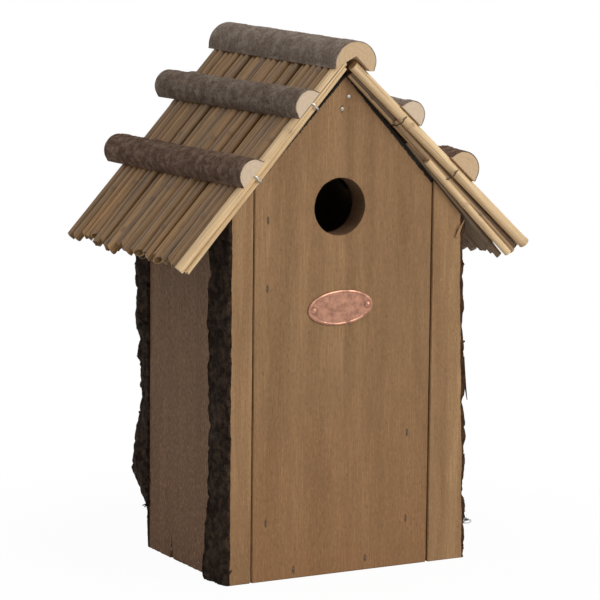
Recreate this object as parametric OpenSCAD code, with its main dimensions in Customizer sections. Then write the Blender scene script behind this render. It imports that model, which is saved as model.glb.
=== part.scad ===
// Nest box for small hole-nesting birds, with a reed thatch roof and bark-edged boards.
// X runs to the right across the front, Y to the back, Z up. The front is at the low Y side.
// The origin is under the middle of everything, on the surface that the box stands on.

/* [Front] */
// Width of the middle board of the front
panel_w = 113.4; // [100:0.2:140]
// Thickness of the middle board of the front
panel_t = 15; // [12:0.5:18]
// Height of the front's point above the base
apex_h = 284; // [260:1:310]
// Slope of the gable's two upper edges
pitch = 47.5; // [44:0.5:50]
// Width of the sawn face of the left bark-edged strip
left_strip_w = 12.8; // [10:0.2:18]
// Width of the sawn face of the right bark-edged strip
right_strip_w = 20.1; // [18:0.1:26]
// Thickness of the bark-edged strips
strip_t = 20; // [18:0.5:24]
// Open joint between the middle board and each strip
joint_gap = 1; // [0.4:0.1:2]
// Thickness of the bark on the strips' sawn face
bark_t = 3.2; // [2:0.2:5]
// How much further the bark swells towards the back of a strip
bark_swell = 4; // [1:0.5:6]
// Diameter of the entrance hole
hole_d = 32; // [26:1:36]
// Sideways place of the entrance hole from the middle of the front
hole_x = -3; // [-6:0.5:6]
// Height of the entrance hole's centre above the base
hole_z = 209.3; // [195:0.1:220]

/* [Body] */
// Distance from the front to the back edge of the side walls
body_d = 102; // [90:1:130]
// Thickness of the left wall and of the door on the right
wall_t = 14; // [12:0.5:16]
// Thickness of the back board
back_t = 15; // [12:0.5:18]
// Thickness of the floor board
floor_t = 14; // [12:0.5:18]
// Gap round the floor board
floor_gap = 0.3; // [0.2:0.1:1]
// Diameter of the drain holes in the floor
drain_d = 5; // [4:0.5:6]
// Side of the left corner post, and depth of the right one
post_w = 16; // [14:0.5:18]
// Width of the right corner post
right_post_w = 18; // [16:0.5:22]
// Diameter of the hole that the box hangs from
hang_d = 8; // [6:0.5:10]
// Distance of the hanging hole below the gable's point
hang_drop = 46; // [42:1:56]

/* [Door] */
// Gap between the door and what it closes against
door_gap = 0.8; // [0.5:0.1:1.5]
// Gap between the door's bottom edge and the ground
door_lift = 1; // [0.6:0.1:2]
// Height of the door's outer face above its pivot
door_head = 7; // [6:0.5:9]
// Gap between the door's sloping top and the roof board
head_gap = 1.3; // [0.8:0.1:2]
// Diameter of the two pivot pins
pivot_d = 3; // [2.4:0.2:4]
// Gap between a pivot pin and the hole that it turns in
pivot_clear = 0.06; // [0.02:0.01:0.1]
// Length of a pivot pin inside the door
pivot_reach = 14; // [10:1:20]

/* [Roof boards] */
// Thickness of the boards under the thatch
board_t = 10; // [8:0.5:12]
// Gap between the roof boards and the gables
board_gap = 0.3; // [0.2:0.1:0.8]
// Width of the rail under the ridge
rail_w = 18; // [14:1:22]
// Height of the rail's sides
rail_h = 9; // [6:1:14]

/* [Thatch] */
// Diameter of the thickest upper reed
reed_d = 6.2; // [5:0.1:7]
// Diameter of the thickest lower reed
under_d = 4.4; // [3.6:0.1:5]
// Share of its diameter by which the thinnest reed is thinner
reed_spread = 0.14; // [0:0.02:0.2]
// Gap between neighbouring reeds
reed_gap = 0.12; // [0.1:0.02:0.4]
// Gap between layers of the thatch, and between the thatch and the boards
layer_gap = 0.2; // [0.15:0.05:0.4]
// How far the thatch reaches in front of the front board
mat_front = 9; // [4:0.5:14]
// How far the thatch reaches behind the back board
mat_back = 19; // [10:0.5:24]
// Length of the left reeds down the slope
left_reed_len = 146; // [130:1:160]
// Length of the right reeds down the slope
right_reed_len = 154; // [130:1:165]
// How unevenly the reeds end at the eaves
ragged = 5; // [0:0.5:8]
// How far the right upper reeds lift away from the slope
right_lift = 4.8; // [3:0.2:6]
// Depth of the open end of a reed
reed_open = 12; // [6:1:20]
// Wall thickness of a reed
reed_wall = 0.8; // [0.6:0.1:1]
// Thickness of the binding wire
wire_d = 0.8; // [0.6:0.1:1.2]

/* [Logs] */
// Width of the ridge log
ridge_w = 27; // [24:0.5:32]
// Height of the ridge log above its notch
ridge_rise = 11.4; // [8:0.2:13]
// How far the ridge log reaches in front of the front board
ridge_front = 11; // [6:0.5:16]
// How far the ridge log reaches behind the back board
ridge_back = 24; // [14:0.5:30]
// Width of the left battens' flat side
batten_w = 19; // [16:0.5:24]
// Height of the left battens above their flat side
batten_h = 9.3; // [7:0.1:12]
// Width of the right lower batten's flat side
wide_batten_w = 21.5; // [18:0.5:26]
// Height of the right lower batten above its flat side
wide_batten_h = 11; // [8:0.5:13]
// Width of the right upper batten's flat side
flat_batten_w = 17.5; // [15:0.5:22]
// Height of the right upper batten, which is split thinner than the others
flat_batten_h = 9.5; // [6:0.5:11]
// How far the left upper batten reaches in front of the front board
batten_front = 15; // [12:0.5:22]
// How far the right battens reach in front of the front board
right_batten_front = 10; // [9:0.5:12]
// How far the left upper batten reaches behind the back board
batten_back = 36; // [24:0.5:42]
// Step by which the other battens are shorter
batten_step = 1; // [0:0.5:3]
// Distance of the left upper batten's middle from the ridge, down the slope, at its front end
left_upper_at = 33; // [28:0.5:38]
// Distance of the left lower batten's middle from the ridge, at its front end
left_lower_at = 82.5; // [76:0.5:92]
// Distance of the right upper batten's middle from the ridge
right_upper_at = 44; // [36:0.5:50]
// Distance of the right lower batten's middle from the ridge
right_lower_at = 90.5; // [84:0.5:102]
// How much further down the slope the left battens lie at their rear end
batten_skew = 3.5; // [0:0.5:5]

/* [Name plate] */
// Width of the oval plate
plate_w = 41.5; // [34:0.5:48]
// Height of the oval plate
plate_h = 19.5; // [15:0.5:24]
// Thickness of the plate
plate_t = 0.8; // [0.5:0.1:1.2]
// Height of the plate's middle above the base
plate_z = 152.4; // [140:0.1:170]
// Angle by which the plate's right end sits higher
plate_tilt = 2.2; // [-4:0.2:4]

/* [Latch] */
// Thickness of the wire of the latch
latch_wire = 1.8; // [1.4:0.1:2.2]
// Radius of the latch's screw eyes at the middle of the wire
eye_r = 3.5; // [3.2:0.1:4]
// Height of the latch above the base
latch_z = 19.5; // [16:0.5:30]
// Distance of the catch eye behind the front
catch_y = 8; // [7:0.5:10]
// Distance from the hook's pivot to its tip
hook_reach = 26; // [24:0.5:32]
// Length of the hook's bent tip
hook_drop = 10.5; // [8:0.5:11]
// Angle by which the hook is lifted to hold its tip just above the catch eye
hook_rest = 27; // [26.5:0.5:32]

/* [Nails] */
// Diameter of the nails' heads
nail_head_d = 2.4; // [2:0.1:3.6]
// Diameter of the nails' shanks
nail_d = 1.6; // [1.2:0.1:2]
// Length of the nails in the boards
nail_len = 28; // [26:1:32]
// Distance of the logs' nails from the inner faces of the front and back boards
log_nail_in = 12; // [9:0.5:20]

/* [Hidden] */
$fn = 48;

rise = tan(pitch);
panel_half = panel_w / 2;
left_in = -panel_half - joint_gap;
left_out = left_in - left_strip_w;
right_in = panel_half + joint_gap;
right_out = right_in + right_strip_w;
wall_in = left_out + wall_t;
door_in = right_out - wall_t;
back_y = body_d + back_t;
wall_y = strip_t;
post_top_gap = 0.4;
cut_more = 1;
wane_from = 24;
wire_above = 4;
wire_aside = [1.5, 2.5];

// The thatch lies on the gables in two layers, with the binding wire between them
under_n = layer_gap + under_d / 2;
wire_n = under_n + under_d / 2 + wire_d / 2 + reed_gap;
upper_n = wire_n + wire_d / 2 + reed_gap + reed_d / 2;
mat_top_n = upper_n + reed_d / 2;
batten_n = mat_top_n + layer_gap;
// On the right the upper layer rests on the boards near the ridge and on a short lower layer at the
// eave, which lifts it. Its places are counted in its own lifted slope
right_upper_n = layer_gap + reed_d / 2;
right_batten_n = right_upper_n + reed_d / 2 + layer_gap;
right_wire_n = layer_gap - reed_gap - wire_d / 2;
right_under_start = (under_d + layer_gap) / sin(right_lift) + 2;
notch_n = layer_gap + under_d + layer_gap;
notch_z = apex_h + notch_n / cos(pitch);
leg_in_x = ridge_w / 2 - (batten_n - notch_n) * sin(pitch);
leg_out_z = apex_h + (batten_n - ridge_w / 2 * sin(pitch)) / cos(pitch);
leg_s = ridge_w / 2 * cos(pitch) - (leg_out_z - apex_h) * sin(pitch);
leg_gap = 0.4;
left_wires = [left_upper_at - wire_above, left_lower_at - wire_aside[0]];
right_wires = [right_upper_at - wire_aside[1], right_lower_at - wire_aside[1]];

// Nails of the front board. The apex nails are given across and down from the gable's point
apex_nails = [[1.7, 13.5], [-2.4, 20.4]];
left_post_nails = [33.5, apex_h - 118.1, apex_h - 80];
right_post_nails = [27.3, 77.3];
floor_front_nails = [[-30.1, floor_t * 0.36], [16.2, floor_t * 0.48]];
strip_nail_heights = [30, 105];
back_nail_shares = [0.14, 0.39, 0.62];
post_nail_shares = [0.21, 0.475];
left_post_mid = wall_in + floor_gap + post_w / 2;
right_post_mid = panel_half - right_post_w + post_w / 4;
pin_x = plate_w / 2 - 3.6;
nail_head_t = 0.8;
nail_sunk = 2;
roof_nail_shares = [0.25, 0.7];
rail_hold = 4;

// The pivot lies so far under the roof board that the door's head clears it while it swings
pivot_x = right_out - wall_t / 2;
head_r = norm([wall_t / 2, door_head]);
pivot_n = board_t + head_gap + head_r;
pivot_z = apex_h - (pivot_x * sin(pitch) + pivot_n) / cos(pitch);
door_top_out = pivot_z + door_head;
door_top_in = door_top_out + wall_t * rise;
bore_r = pivot_d / 2 + pivot_clear;

// Where the latch's rings and its pivot lie
latch_x = right_out + bark_t + bark_swell * catch_y / strip_t + eye_r + latch_wire / 2;
hook_y = catch_y + hook_reach + 0.7;
hook_eye_y = hook_y + eye_r;
hook_hole_r = latch_wire / 2 + 0.5;
hook_loop_r = hook_hole_r + 1.4;

// Half of what reaches furthest to each side gives the middle, which is the origin
reach_left = left_reed_len * cos(pitch) + mat_top_n * sin(pitch);
right_top_n = right_upper_n + reed_d / 2;
reach_right = right_reed_len * cos(pitch - right_lift) + right_top_n * sin(pitch - right_lift);
mid_x = (reach_right - reach_left) / 2;
mid_y = (back_y + batten_back - batten_front) / 2;

// Where the upper reeds start, just below the ridge log's leg
function upper_start(lift) = leg_s + leg_gap + mat_top_n * sin(lift);
function slope_z(x) = apex_h - abs(x) * rise;
function board_under_z(x) = slope_z(x) - board_t / cos(pitch);
// A smooth uneven value between -1 and 1, the same each time for the same place and seed
function uneven(a, b, seed) =
    (sin(a * 1.7 + seed * 71) + sin(a * 3.1 + b * 1.3 + seed * 37) + sin(b * 2.3 + a * 0.6 + seed * 113)) / 3;

module home() {
    translate([-mid_x, -mid_y, 0]) children();
}

// Puts children on a roof slope: X down the slope from the ridge, Y back, Z out of the roof
module on_slope(side, lift = 0) {
    translate([0, 0, apex_h]) mirror([side < 0 ? 1 : 0, 0, 0]) rotate([0, pitch - lift, 0]) children();
}

// A closed solid through rings of points, with a flat cap at each end
module loft(rings) {
    count = len(rings[0]);
    last = len(rings) - 1;
    points = [for (ring = rings) each ring];
    sides = [
        for (k = [0 : last - 1], i = [0 : count - 1])
        let (a = k * count + i, b = k * count + (i + 1) % count)
        each [[a, a + count, b], [b, a + count, b + count]]
    ];
    first_cap = [for (i = [0 : count - 1]) i];
    last_cap = [for (i = [count - 1 : -1 : 0]) last * count + i];
    polyhedron(points = points, faces = concat(sides, [first_cap, last_cap]), convexity = 6);
}

module round_rod(d, length) {
    cylinder(h = length, d = d, $fn = 24);
}

// A nail along -Z from its head's face, whose face lies at the origin
module nail(length = nail_len) {
    translate([0, 0, -nail_head_t]) cylinder(h = nail_head_t, d = nail_head_d, $fn = 24);
    translate([0, 0, -length]) cylinder(h = length, d = nail_d, $fn = 24);
}

// Front

module front_panel() {
    color("#8f7152") home() difference() {
        translate([0, panel_t, 0]) rotate([90, 0, 0]) linear_extrude(panel_t) polygon([
            [-panel_half, 0], [panel_half, 0], [panel_half, slope_z(panel_half)], [0, apex_h],
            [-panel_half, slope_z(panel_half)]
        ]);
        translate([hole_x, -cut_more, hole_z]) rotate([-90, 0, 0])
            cylinder(h = panel_t + 2 * cut_more, d = hole_d, $fn = 96);
    }
}

// The outer face of a slab strip, from its sawn front to its back, in steps of the bark's curve
function bark_curve(t, z, seed) =
    bark_t * (0.55 + 0.45 * sin(min(t, 0.5) * 180)) + bark_swell * t + 1.1 * uneven(z * 5, t * 160, seed);

module slab_strip(x_in, x_out, seed) {
    side = sign(x_out);
    steps = 5;
    levels = 22;
    rings = [for (k = [0 : levels]) let (h = k / levels) [
        for (p = concat(
            [[x_in, 0]],
            [for (i = [0 : steps]) let (t = i / steps)
                [x_out + side * bark_curve(t, h * slope_z(x_out), seed), t * strip_t]],
            [[x_in, strip_t]]
        )) [p.x, p.y, h * slope_z(p.x)]
    ]];
    if (side < 0) loft([for (ring = rings) [for (i = [len(ring) - 1 : -1 : 0]) ring[i]]]);
    else loft(rings);
}

module front_strip_left() {
    color("#9b7c58") home() slab_strip(left_in, left_out, 3);
}

module front_strip_right() {
    color("#94744f") home() slab_strip(right_in, right_out, 8);
}

// Body

// How far the back board's right bark edge stands out beside the door at a height
function right_wane(z, t) =
    z < wane_from ? 0.3 + 0.3 * sin(180 * t)
        : (5.2 + 2.6 * uneven(z * 2.3, 40, 9)) * sin(30 + 120 * t) + 0.5 * uneven(z * 9, t * 200, 10);

// How far its left bark edge stands out beside the wall: next to the wall, and in pairs of a share
// of the height and a size at the rear, where the log's curve makes it fall back in places
left_wane_front = 1.2;
left_wane_rear = [
    [0, -8], [0.08, -7], [0.1, -2.5], [0.16, 1.5], [0.22, 3], [0.24, 2], [0.255, -0.8],
    [0.35, -3.8], [0.44, 0.6], [0.48, -1.3], [0.6, 1.5], [0.76, 2]
];
function left_wane(z, t) =
    (1 - t) * left_wane_front * min(1, 0.25 + z / wane_from / 2) + t * lookup(z / apex_h, left_wane_rear)
        + 0.8 * sin(180 * t) + 0.3 * uneven(z * 9, t * 200, 5) * sin(180 * t);

module back_board() {
    steps = 4;
    levels = 32;
    top = slope_z(left_out) + 12;
    color("#7d6249") home() difference() {
        intersection() {
            union() {
                loft([for (k = [0 : levels]) let (z = top * k / levels) concat(
                    [for (i = [0 : steps]) let (t = i / steps)
                        [right_out + right_wane(z, t), body_d + t * back_t, z]],
                    [for (i = [steps : -1 : 0]) let (t = i / steps)
                        [left_out - left_wane(z, t), body_d + t * back_t, z]]
                )]);
                translate([left_out + 6, body_d, top / 2])
                    cube([right_out - left_out - 8, back_t, apex_h - top / 2]);
            }
            translate([0, body_d + back_t + cut_more, 0]) rotate([90, 0, 0])
                linear_extrude(back_t + 2 * cut_more) polygon([
                    [-apex_h / rise, 0], [apex_h / rise, 0], [0, apex_h]
                ]);
        }
        translate([0, body_d - cut_more, apex_h - hang_drop]) rotate([-90, 0, 0])
            cylinder(h = back_t + 2 * cut_more, d = hang_d);
    }
}

module left_wall() {
    color("#5f4a3c") home() translate([0, body_d, 0]) rotate([90, 0, 0])
        linear_extrude(body_d - wall_y) polygon([
            [left_out, 0], [wall_in, 0],
            [wall_in, board_under_z(wall_in)], [left_out, board_under_z(left_out)]
        ]);
}

module side_door() {
    front = strip_t + door_gap;
    back = body_d - door_gap;
    color("#6b5341") home() difference() {
        translate([0, back, 0]) rotate([90, 0, 0]) linear_extrude(back - front) polygon([
            [door_in, door_lift], [right_out, door_lift], [right_out, door_top_out],
            [door_in, door_top_in]
        ]);
        for (y = [front - cut_more, back - pivot_reach])
            translate([pivot_x, y, pivot_z]) rotate([-90, 0, 0])
                cylinder(h = pivot_reach + cut_more, r = bore_r);
    }
}

module floor_board() {
    x0 = wall_in + floor_gap;
    x1 = door_in - door_gap;
    y0 = panel_t + floor_gap;
    y1 = body_d - floor_gap;
    notch = post_w + floor_gap;
    right_notch_x = panel_half - right_post_w - floor_gap;
    color("#8a6f55") home() difference() {
        translate([x0, y0, 0]) cube([x1 - x0, y1 - y0, floor_t]);
        translate([x0 - cut_more, y0 - cut_more, -cut_more])
            cube([notch + cut_more, notch + cut_more, floor_t + 2 * cut_more]);
        translate([right_notch_x, y0 - cut_more, -cut_more])
            cube([x1 - right_notch_x + cut_more, notch + cut_more, floor_t + 2 * cut_more]);
        for (x = [x0 + 30, x1 - 30], y = [y0 + 28, y1 - 20])
            translate([x, y, -cut_more]) cylinder(h = floor_t + 2 * cut_more, d = drain_d);
    }
}

module corner_post_left() {
    x0 = wall_in + floor_gap;
    x1 = x0 + post_w;
    color("#86694c") home() translate([0, panel_t + post_w, 0]) rotate([90, 0, 0])
        linear_extrude(post_w) polygon([
            [x0, 0], [x1, 0], [x1, board_under_z(x1) - post_top_gap], [x0, board_under_z(x0) - post_top_gap]
        ]);
}

module corner_post_right() {
    color("#86694c") home() translate([panel_half - right_post_w, panel_t, 0])
        cube([right_post_w, post_w, pivot_z - door_head]);
}

// Roof

// One board under the thatch, notched round the top of the strip at its side
module roof_board(side, lower_end) {
    y0 = panel_t + board_gap;
    y1 = body_d - board_gap;
    notch_x = panel_half + joint_gap - board_gap;
    difference() {
        on_slope(side) translate([0, y1, 0]) rotate([90, 0, 0]) linear_extrude(y1 - y0) polygon([
            [board_gap / 2, 0], [lower_end, 0], [lower_end, -board_t],
            [board_gap / 2 + board_t * rise, -board_t]
        ]);
        mirror([side < 0 ? 1 : 0, 0, 0]) translate([notch_x, 0, 0])
            cube([right_out, strip_t + board_gap, apex_h]);
    }
}

module roof_board_left() {
    color("#82684f") home() roof_board(-1, abs(left_out) / cos(pitch) - board_t * rise);
}

module roof_board_right() {
    color("#82684f") home() roof_board(1, right_out / cos(pitch) - board_t * rise);
}

module ridge_rail() {
    y0 = panel_t + board_gap;
    y1 = body_d - board_gap;
    top = board_under_z(0) - board_gap;
    side_z = top - rail_w / 2 * rise;
    color("#8b7156") home() translate([0, y1, 0]) rotate([90, 0, 0]) linear_extrude(y1 - y0) polygon([
        [-rail_w / 2, side_z - rail_h], [rail_w / 2, side_z - rail_h], [rail_w / 2, side_z], [0, top],
        [-rail_w / 2, side_z]
    ]);
}

// One reed along X, with an open end at the eave
module reed(d, start, end) {
    translate([start, 0, 0]) rotate([0, 90, 0]) difference() {
        cylinder(h = end - start, d = d, $fn = 24);
        translate([0, 0, end - start - reed_open])
            cylinder(h = reed_open + cut_more, d = d - 2 * reed_wall, $fn = 24);
    }
}

// One layer of reeds side by side, across the depth of the roof
module reed_layer(d, n, start, end, inset, seed) {
    step = d + reed_gap;
    y0 = -mat_front + inset + d / 2;
    y1 = back_y + mat_back - inset - d / 2;
    count = floor((y1 - y0) / step) + 1;
    thin = rands(0, reed_spread, count, seed);
    short = rands(0, ragged, count, seed + 1);
    for (i = [0 : count - 1])
        translate([0, y0 + (y1 - y0) * i / (count - 1), n])
            reed(i == 0 ? d : d * (1 - thin[i]), start, end - (i == 0 ? 0 : short[i]));
}

module thatch_left_lower() {
    color("#7c6547") home() on_slope(-1)
        reed_layer(under_d, under_n, 2.5, left_reed_len - 4, 3, 11);
}

module thatch_left_upper() {
    color("#a08760") home() on_slope(-1)
        reed_layer(reed_d, upper_n, upper_start(0), left_reed_len, 0, 21);
}

module thatch_right_lower() {
    color("#8c7350") home() on_slope(1)
        reed_layer(under_d, under_n, right_under_start, right_reed_len - 4, 3, 31);
}

module thatch_right_upper() {
    color("#b0935f") home() on_slope(1, right_lift)
        reed_layer(reed_d, right_upper_n, upper_start(right_lift), right_reed_len, 0, 41);
}

// Two wires between the layers, one under each batten, turned up over the first and last reed
module binding_wire(side, lift, places, n, top_n) {
    y0 = -mat_front - reed_gap - wire_d / 2;
    y1 = back_y + mat_back + reed_gap + wire_d / 2;
    up = top_n - n - reed_gap;
    home() on_slope(side, lift) for (s = places) {
        translate([s, y0, n]) rotate([-90, 0, 0]) round_rod(wire_d, y1 - y0);
        for (y = [y0, y1]) {
            translate([s, y, n]) round_rod(wire_d, up);
            translate([s, y, n]) sphere(d = wire_d, $fn = 24);
        }
    }
}

module binding_wire_left() {
    color("#b9b9b6") binding_wire(-1, 0, left_wires, wire_n, batten_n);
}

module binding_wire_right() {
    color("#5b5046") binding_wire(1, right_lift, right_wires, right_wire_n, right_batten_n);
}

// Half of a debarked-inside log on the ridge, with a notch that fits over both slopes
module ridge_log() {
    arc_steps = 14;
    stations = 14;
    y0 = -ridge_front;
    y1 = back_y + ridge_back;
    top_z = notch_z + ridge_rise;
    centre_z = top_z - ridge_w / 2;
    low = leg_out_z - centre_z;
    below = low < 0 ? asin(-2 * low / ridge_w) : 0;
    rings = [for (k = [0 : stations]) let (y = y0 + (y1 - y0) * k / stations) concat(
        [for (i = [0 : arc_steps]) let (
            a = 180 + below - (180 + 2 * below) * i / arc_steps,
            r = ridge_w / 2 + (i == 0 || i == arc_steps ? 0 : 0.35 * (uneven(y * 4, a, 2) - 1))
        ) [r * cos(a), y, centre_z + max(low, r * sin(a))]],
        [[leg_in_x, y, notch_z - leg_in_x * rise], [0, y, notch_z], [-leg_in_x, y, notch_z - leg_in_x * rise]]
    )];
    color("#6f665c") home() loft(rings);
}

// Half of a thin log, laid flat side down across the reeds, further down the slope at its rear
module batten(side, lift, at, n, skew, front, back, width, height, seed) {
    arc_steps = 10;
    stations = 12;
    home() on_slope(side, lift) translate([at, 0, n]) loft([
        for (k = [0 : stations]) let (along = k / stations, y = -front + (back_y + back + front) * along) [
            for (i = [0 : arc_steps]) let (
                a = 180 - 180 * i / arc_steps,
                r = 1 + (i == 0 || i == arc_steps ? 0 : 0.05 * (uneven(y * 5, a, seed) - 1))
            ) [skew * along + width / 2 * r * cos(a), y, height * r * sin(a)]
        ]
    ]);
}

module batten_left_upper() {
    color("#6a6158")
        batten(-1, 0, left_upper_at, batten_n, batten_skew, batten_front, batten_back, batten_w, batten_h, 4);
}

module batten_left_lower() {
    front = batten_front - batten_step;
    back = batten_back - batten_step;
    color("#54463d") batten(-1, 0, left_lower_at, batten_n, batten_skew, front, back, batten_w, batten_h, 6);
}

module batten_right_upper() {
    front = right_batten_front - batten_step / 2;
    back = batten_back - 3 * batten_step;
    n = right_batten_n;
    color("#6b625a")
        batten(1, right_lift, right_upper_at, n, 0, front, back, flat_batten_w, flat_batten_h, 7);
}

module batten_right_lower() {
    front = right_batten_front;
    back = batten_back - 2 * batten_step;
    n = right_batten_n;
    color("#57493f")
        batten(1, right_lift, right_lower_at, n, 0, front, back, wide_batten_w, wide_batten_h, 12);
}

// Name plate

module name_plate() {
    sides = 48;
    pin_clear = 0.3;
    color("#b87a5c") home() on_plate() difference() {
        linear_extrude(plate_t) polygon([
            for (i = [0 : sides - 1]) [plate_w / 2 * cos(360 * i / sides), plate_h / 2 * sin(360 * i / sides)]
        ]);
        for (side = [-1, 1]) translate([side * pin_x, 0, -cut_more])
            cylinder(h = plate_t + 2 * cut_more, d = nail_d + pin_clear, $fn = 24);
    }
}

// Puts children on the front under the hole, with Z out of the plate's back face
module on_plate() {
    translate([hole_x + 1, -layer_gap, plate_z]) rotate([0, -plate_tilt, 0]) rotate([90, 0, 0]) children();
}

module plate_pins() {
    pin_len = 9;
    dome_d = 5;
    dome_sunk = 1.4;
    color("#c9885f") home() on_plate() for (side = [-1, 1]) translate([side * pin_x, 0, plate_t]) {
        intersection() {
            translate([0, 0, -dome_sunk]) sphere(d = dome_d, $fn = 32);
            cylinder(h = dome_d / 2, d = dome_d, $fn = 32);
        }
        translate([0, 0, -pin_len]) cylinder(h = pin_len, d = nail_d, $fn = 24);
    }
}

// Nails

module front_nail(x, z) {
    translate([x, 0, z]) rotate([90, 0, 0]) nail();
}

module front_nails() {
    color("#8d8a85") home() {
        for (p = apex_nails) front_nail(p.x, apex_h - p.y);
        for (z = left_post_nails) front_nail(left_post_mid, z);
        for (z = right_post_nails) front_nail(right_post_mid, z);
        for (p = floor_front_nails) front_nail(p.x, p.y);
    }
}

// Through the back board into the left wall, and through the left post into the same wall
module wall_nails() {
    color("#8d8a85") home() {
        for (share = back_nail_shares)
            translate([left_out + wall_t / 2, back_y, apex_h * share]) rotate([-90, 0, 0]) nail();
        for (share = post_nail_shares)
            translate([wall_in + floor_gap + post_w, panel_t + post_w * 0.7, apex_h * share])
                rotate([0, 90, 0]) nail();
    }
}

// Driven through the strips' bark into the edges of the front board
module strip_nails() {
    color("#8d8a85") home() for (z = strip_nail_heights) {
        translate([left_out - bark_t / 2, panel_t / 2, z]) rotate([0, -90, 0]) nail();
        translate([right_out + bark_t / 2, panel_t / 2, z]) rotate([0, 90, 0]) nail();
    }
}

module floor_nails() {
    color("#8d8a85") home() {
        for (x = [-35, 0, 35]) translate([x, back_y, floor_t / 2]) rotate([-90, 0, 0]) nail();
        for (y = [38, 73]) translate([left_out, y, floor_t * 0.4]) rotate([0, -90, 0]) nail();
    }
}

module roof_nails() {
    color("#8d8a85") home() {
        translate([0, back_y, board_under_z(0) - rail_w / 2 + 2]) rotate([-90, 0, 0]) nail();
        for (side = [-1, 1], along = roof_nail_shares) let (x = side * abs(left_out) * along)
            translate([x, back_y, slope_z(x) - board_t / 2 / cos(pitch)]) rotate([-90, 0, 0]) nail();
    }
}

// One nail through a batten, with its head sunk into the bark. The skew is the batten's
module log_nail(side, lift, at, skew, y, top_n) {
    n = top_n - nail_sunk;
    along = (y + batten_front) / (back_y + batten_back + batten_front);
    on_slope(side, lift) translate([at + skew * along, y, n]) nail(n + board_t * 0.7 + at * sin(lift));
}

module log_nails() {
    inner_y = [panel_t + log_nail_in, body_d - log_nail_in];
    aside = log_nail_in / 3;
    ridge_head_z = notch_z + ridge_rise - nail_sunk;
    color("#8d8a85") home() for (y = inner_y) {
        log_nail(-1, 0, left_upper_at, batten_skew, y, batten_n + batten_h);
        log_nail(-1, 0, left_lower_at, batten_skew, y + aside, batten_n + batten_h);
        log_nail(1, right_lift, right_upper_at, 0, y, right_batten_n + flat_batten_h);
        log_nail(1, right_lift, right_lower_at, 0, y + aside, right_batten_n + wide_batten_h);
        translate([0, y, ridge_head_z]) nail(ridge_head_z - board_under_z(0) + rail_hold);
    }
}

// Door pivots and latch

module pivot_pins() {
    strip_hold = 14;
    back_hold = back_t - 2;
    pin = pivot_reach - 1;
    color("#9a9894") home() translate([pivot_x, 0, pivot_z]) {
        translate([0, strip_t - strip_hold, 0]) rotate([-90, 0, 0])
            cylinder(h = strip_hold + door_gap + pin - cut_more, d = pivot_d);
        translate([0, body_d - door_gap - pin + cut_more, 0]) rotate([-90, 0, 0])
            cylinder(h = pin - cut_more + door_gap + back_hold, d = pivot_d);
    }
}

// A screw eye: a ring lying level, and a shank that runs into the wood on its left
module screw_eye(shank) {
    rotate_extrude($fn = 48) translate([eye_r, 0]) circle(d = latch_wire, $fn = 24);
    translate([-eye_r - shank, 0, 0]) rotate([0, 90, 0]) cylinder(h = shank, d = latch_wire, $fn = 24);
}

module catch_eye() {
    color("#c4c4c2") home() translate([latch_x, catch_y, latch_z]) screw_eye(14);
}

module hook_eye() {
    shank = latch_x - eye_r - right_out + 9;
    color("#c4c4c2") home() translate([latch_x, hook_eye_y, latch_z]) screw_eye(shank);
}

// The hook, lifted off the catch eye so that the door is free. Its loop turns on the door's eye.
// Turned down by 21.5 degrees it is latched: the tip is in the catch eye and the shank lies on it
module latch_hook() {
    bend_r = 2.5;
    wire_r = latch_wire / 2;
    shank = hook_reach - hook_hole_r - bend_r - 0.4;
    loop_t = latch_wire + 0.2;
    color("#cfcfcd") home() translate([latch_x, hook_y, latch_z]) rotate([-hook_rest, 0, 0]) {
        rotate([0, 90, 0]) translate([0, 0, -loop_t / 2]) difference() {
            cylinder(h = loop_t, r = hook_loop_r, $fn = 48);
            translate([0, 0, -cut_more]) cylinder(h = loop_t + 2 * cut_more, r = hook_hole_r, $fn = 48);
        }
        translate([0, -hook_reach + bend_r, 0]) rotate([-90, 0, 0]) cylinder(h = shank, r = wire_r, $fn = 24);
        translate([0, -hook_reach + bend_r, -bend_r]) rotate([0, -90, 0]) rotate([0, 0, -90])
            rotate_extrude(angle = 90, $fn = 48) translate([bend_r, 0]) circle(r = wire_r, $fn = 24);
        translate([0, -hook_reach, -hook_drop]) cylinder(h = hook_drop - bend_r, r = wire_r, $fn = 24);
        translate([0, -hook_reach, -hook_drop]) sphere(r = wire_r, $fn = 24);
    }
}

front_panel();
front_strip_left();
front_strip_right();
back_board();
left_wall();
side_door();
floor_board();
corner_post_left();
corner_post_right();
roof_board_left();
roof_board_right();
ridge_rail();
thatch_left_lower();
thatch_left_upper();
thatch_right_lower();
thatch_right_upper();
binding_wire_left();
binding_wire_right();
ridge_log();
batten_left_upper();
batten_left_lower();
batten_right_upper();
batten_right_lower();
name_plate();
plate_pins();
front_nails();
strip_nails();
wall_nails();
floor_nails();
roof_nails();
log_nails();
pivot_pins();
catch_eye();
hook_eye();
latch_hook();
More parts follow.
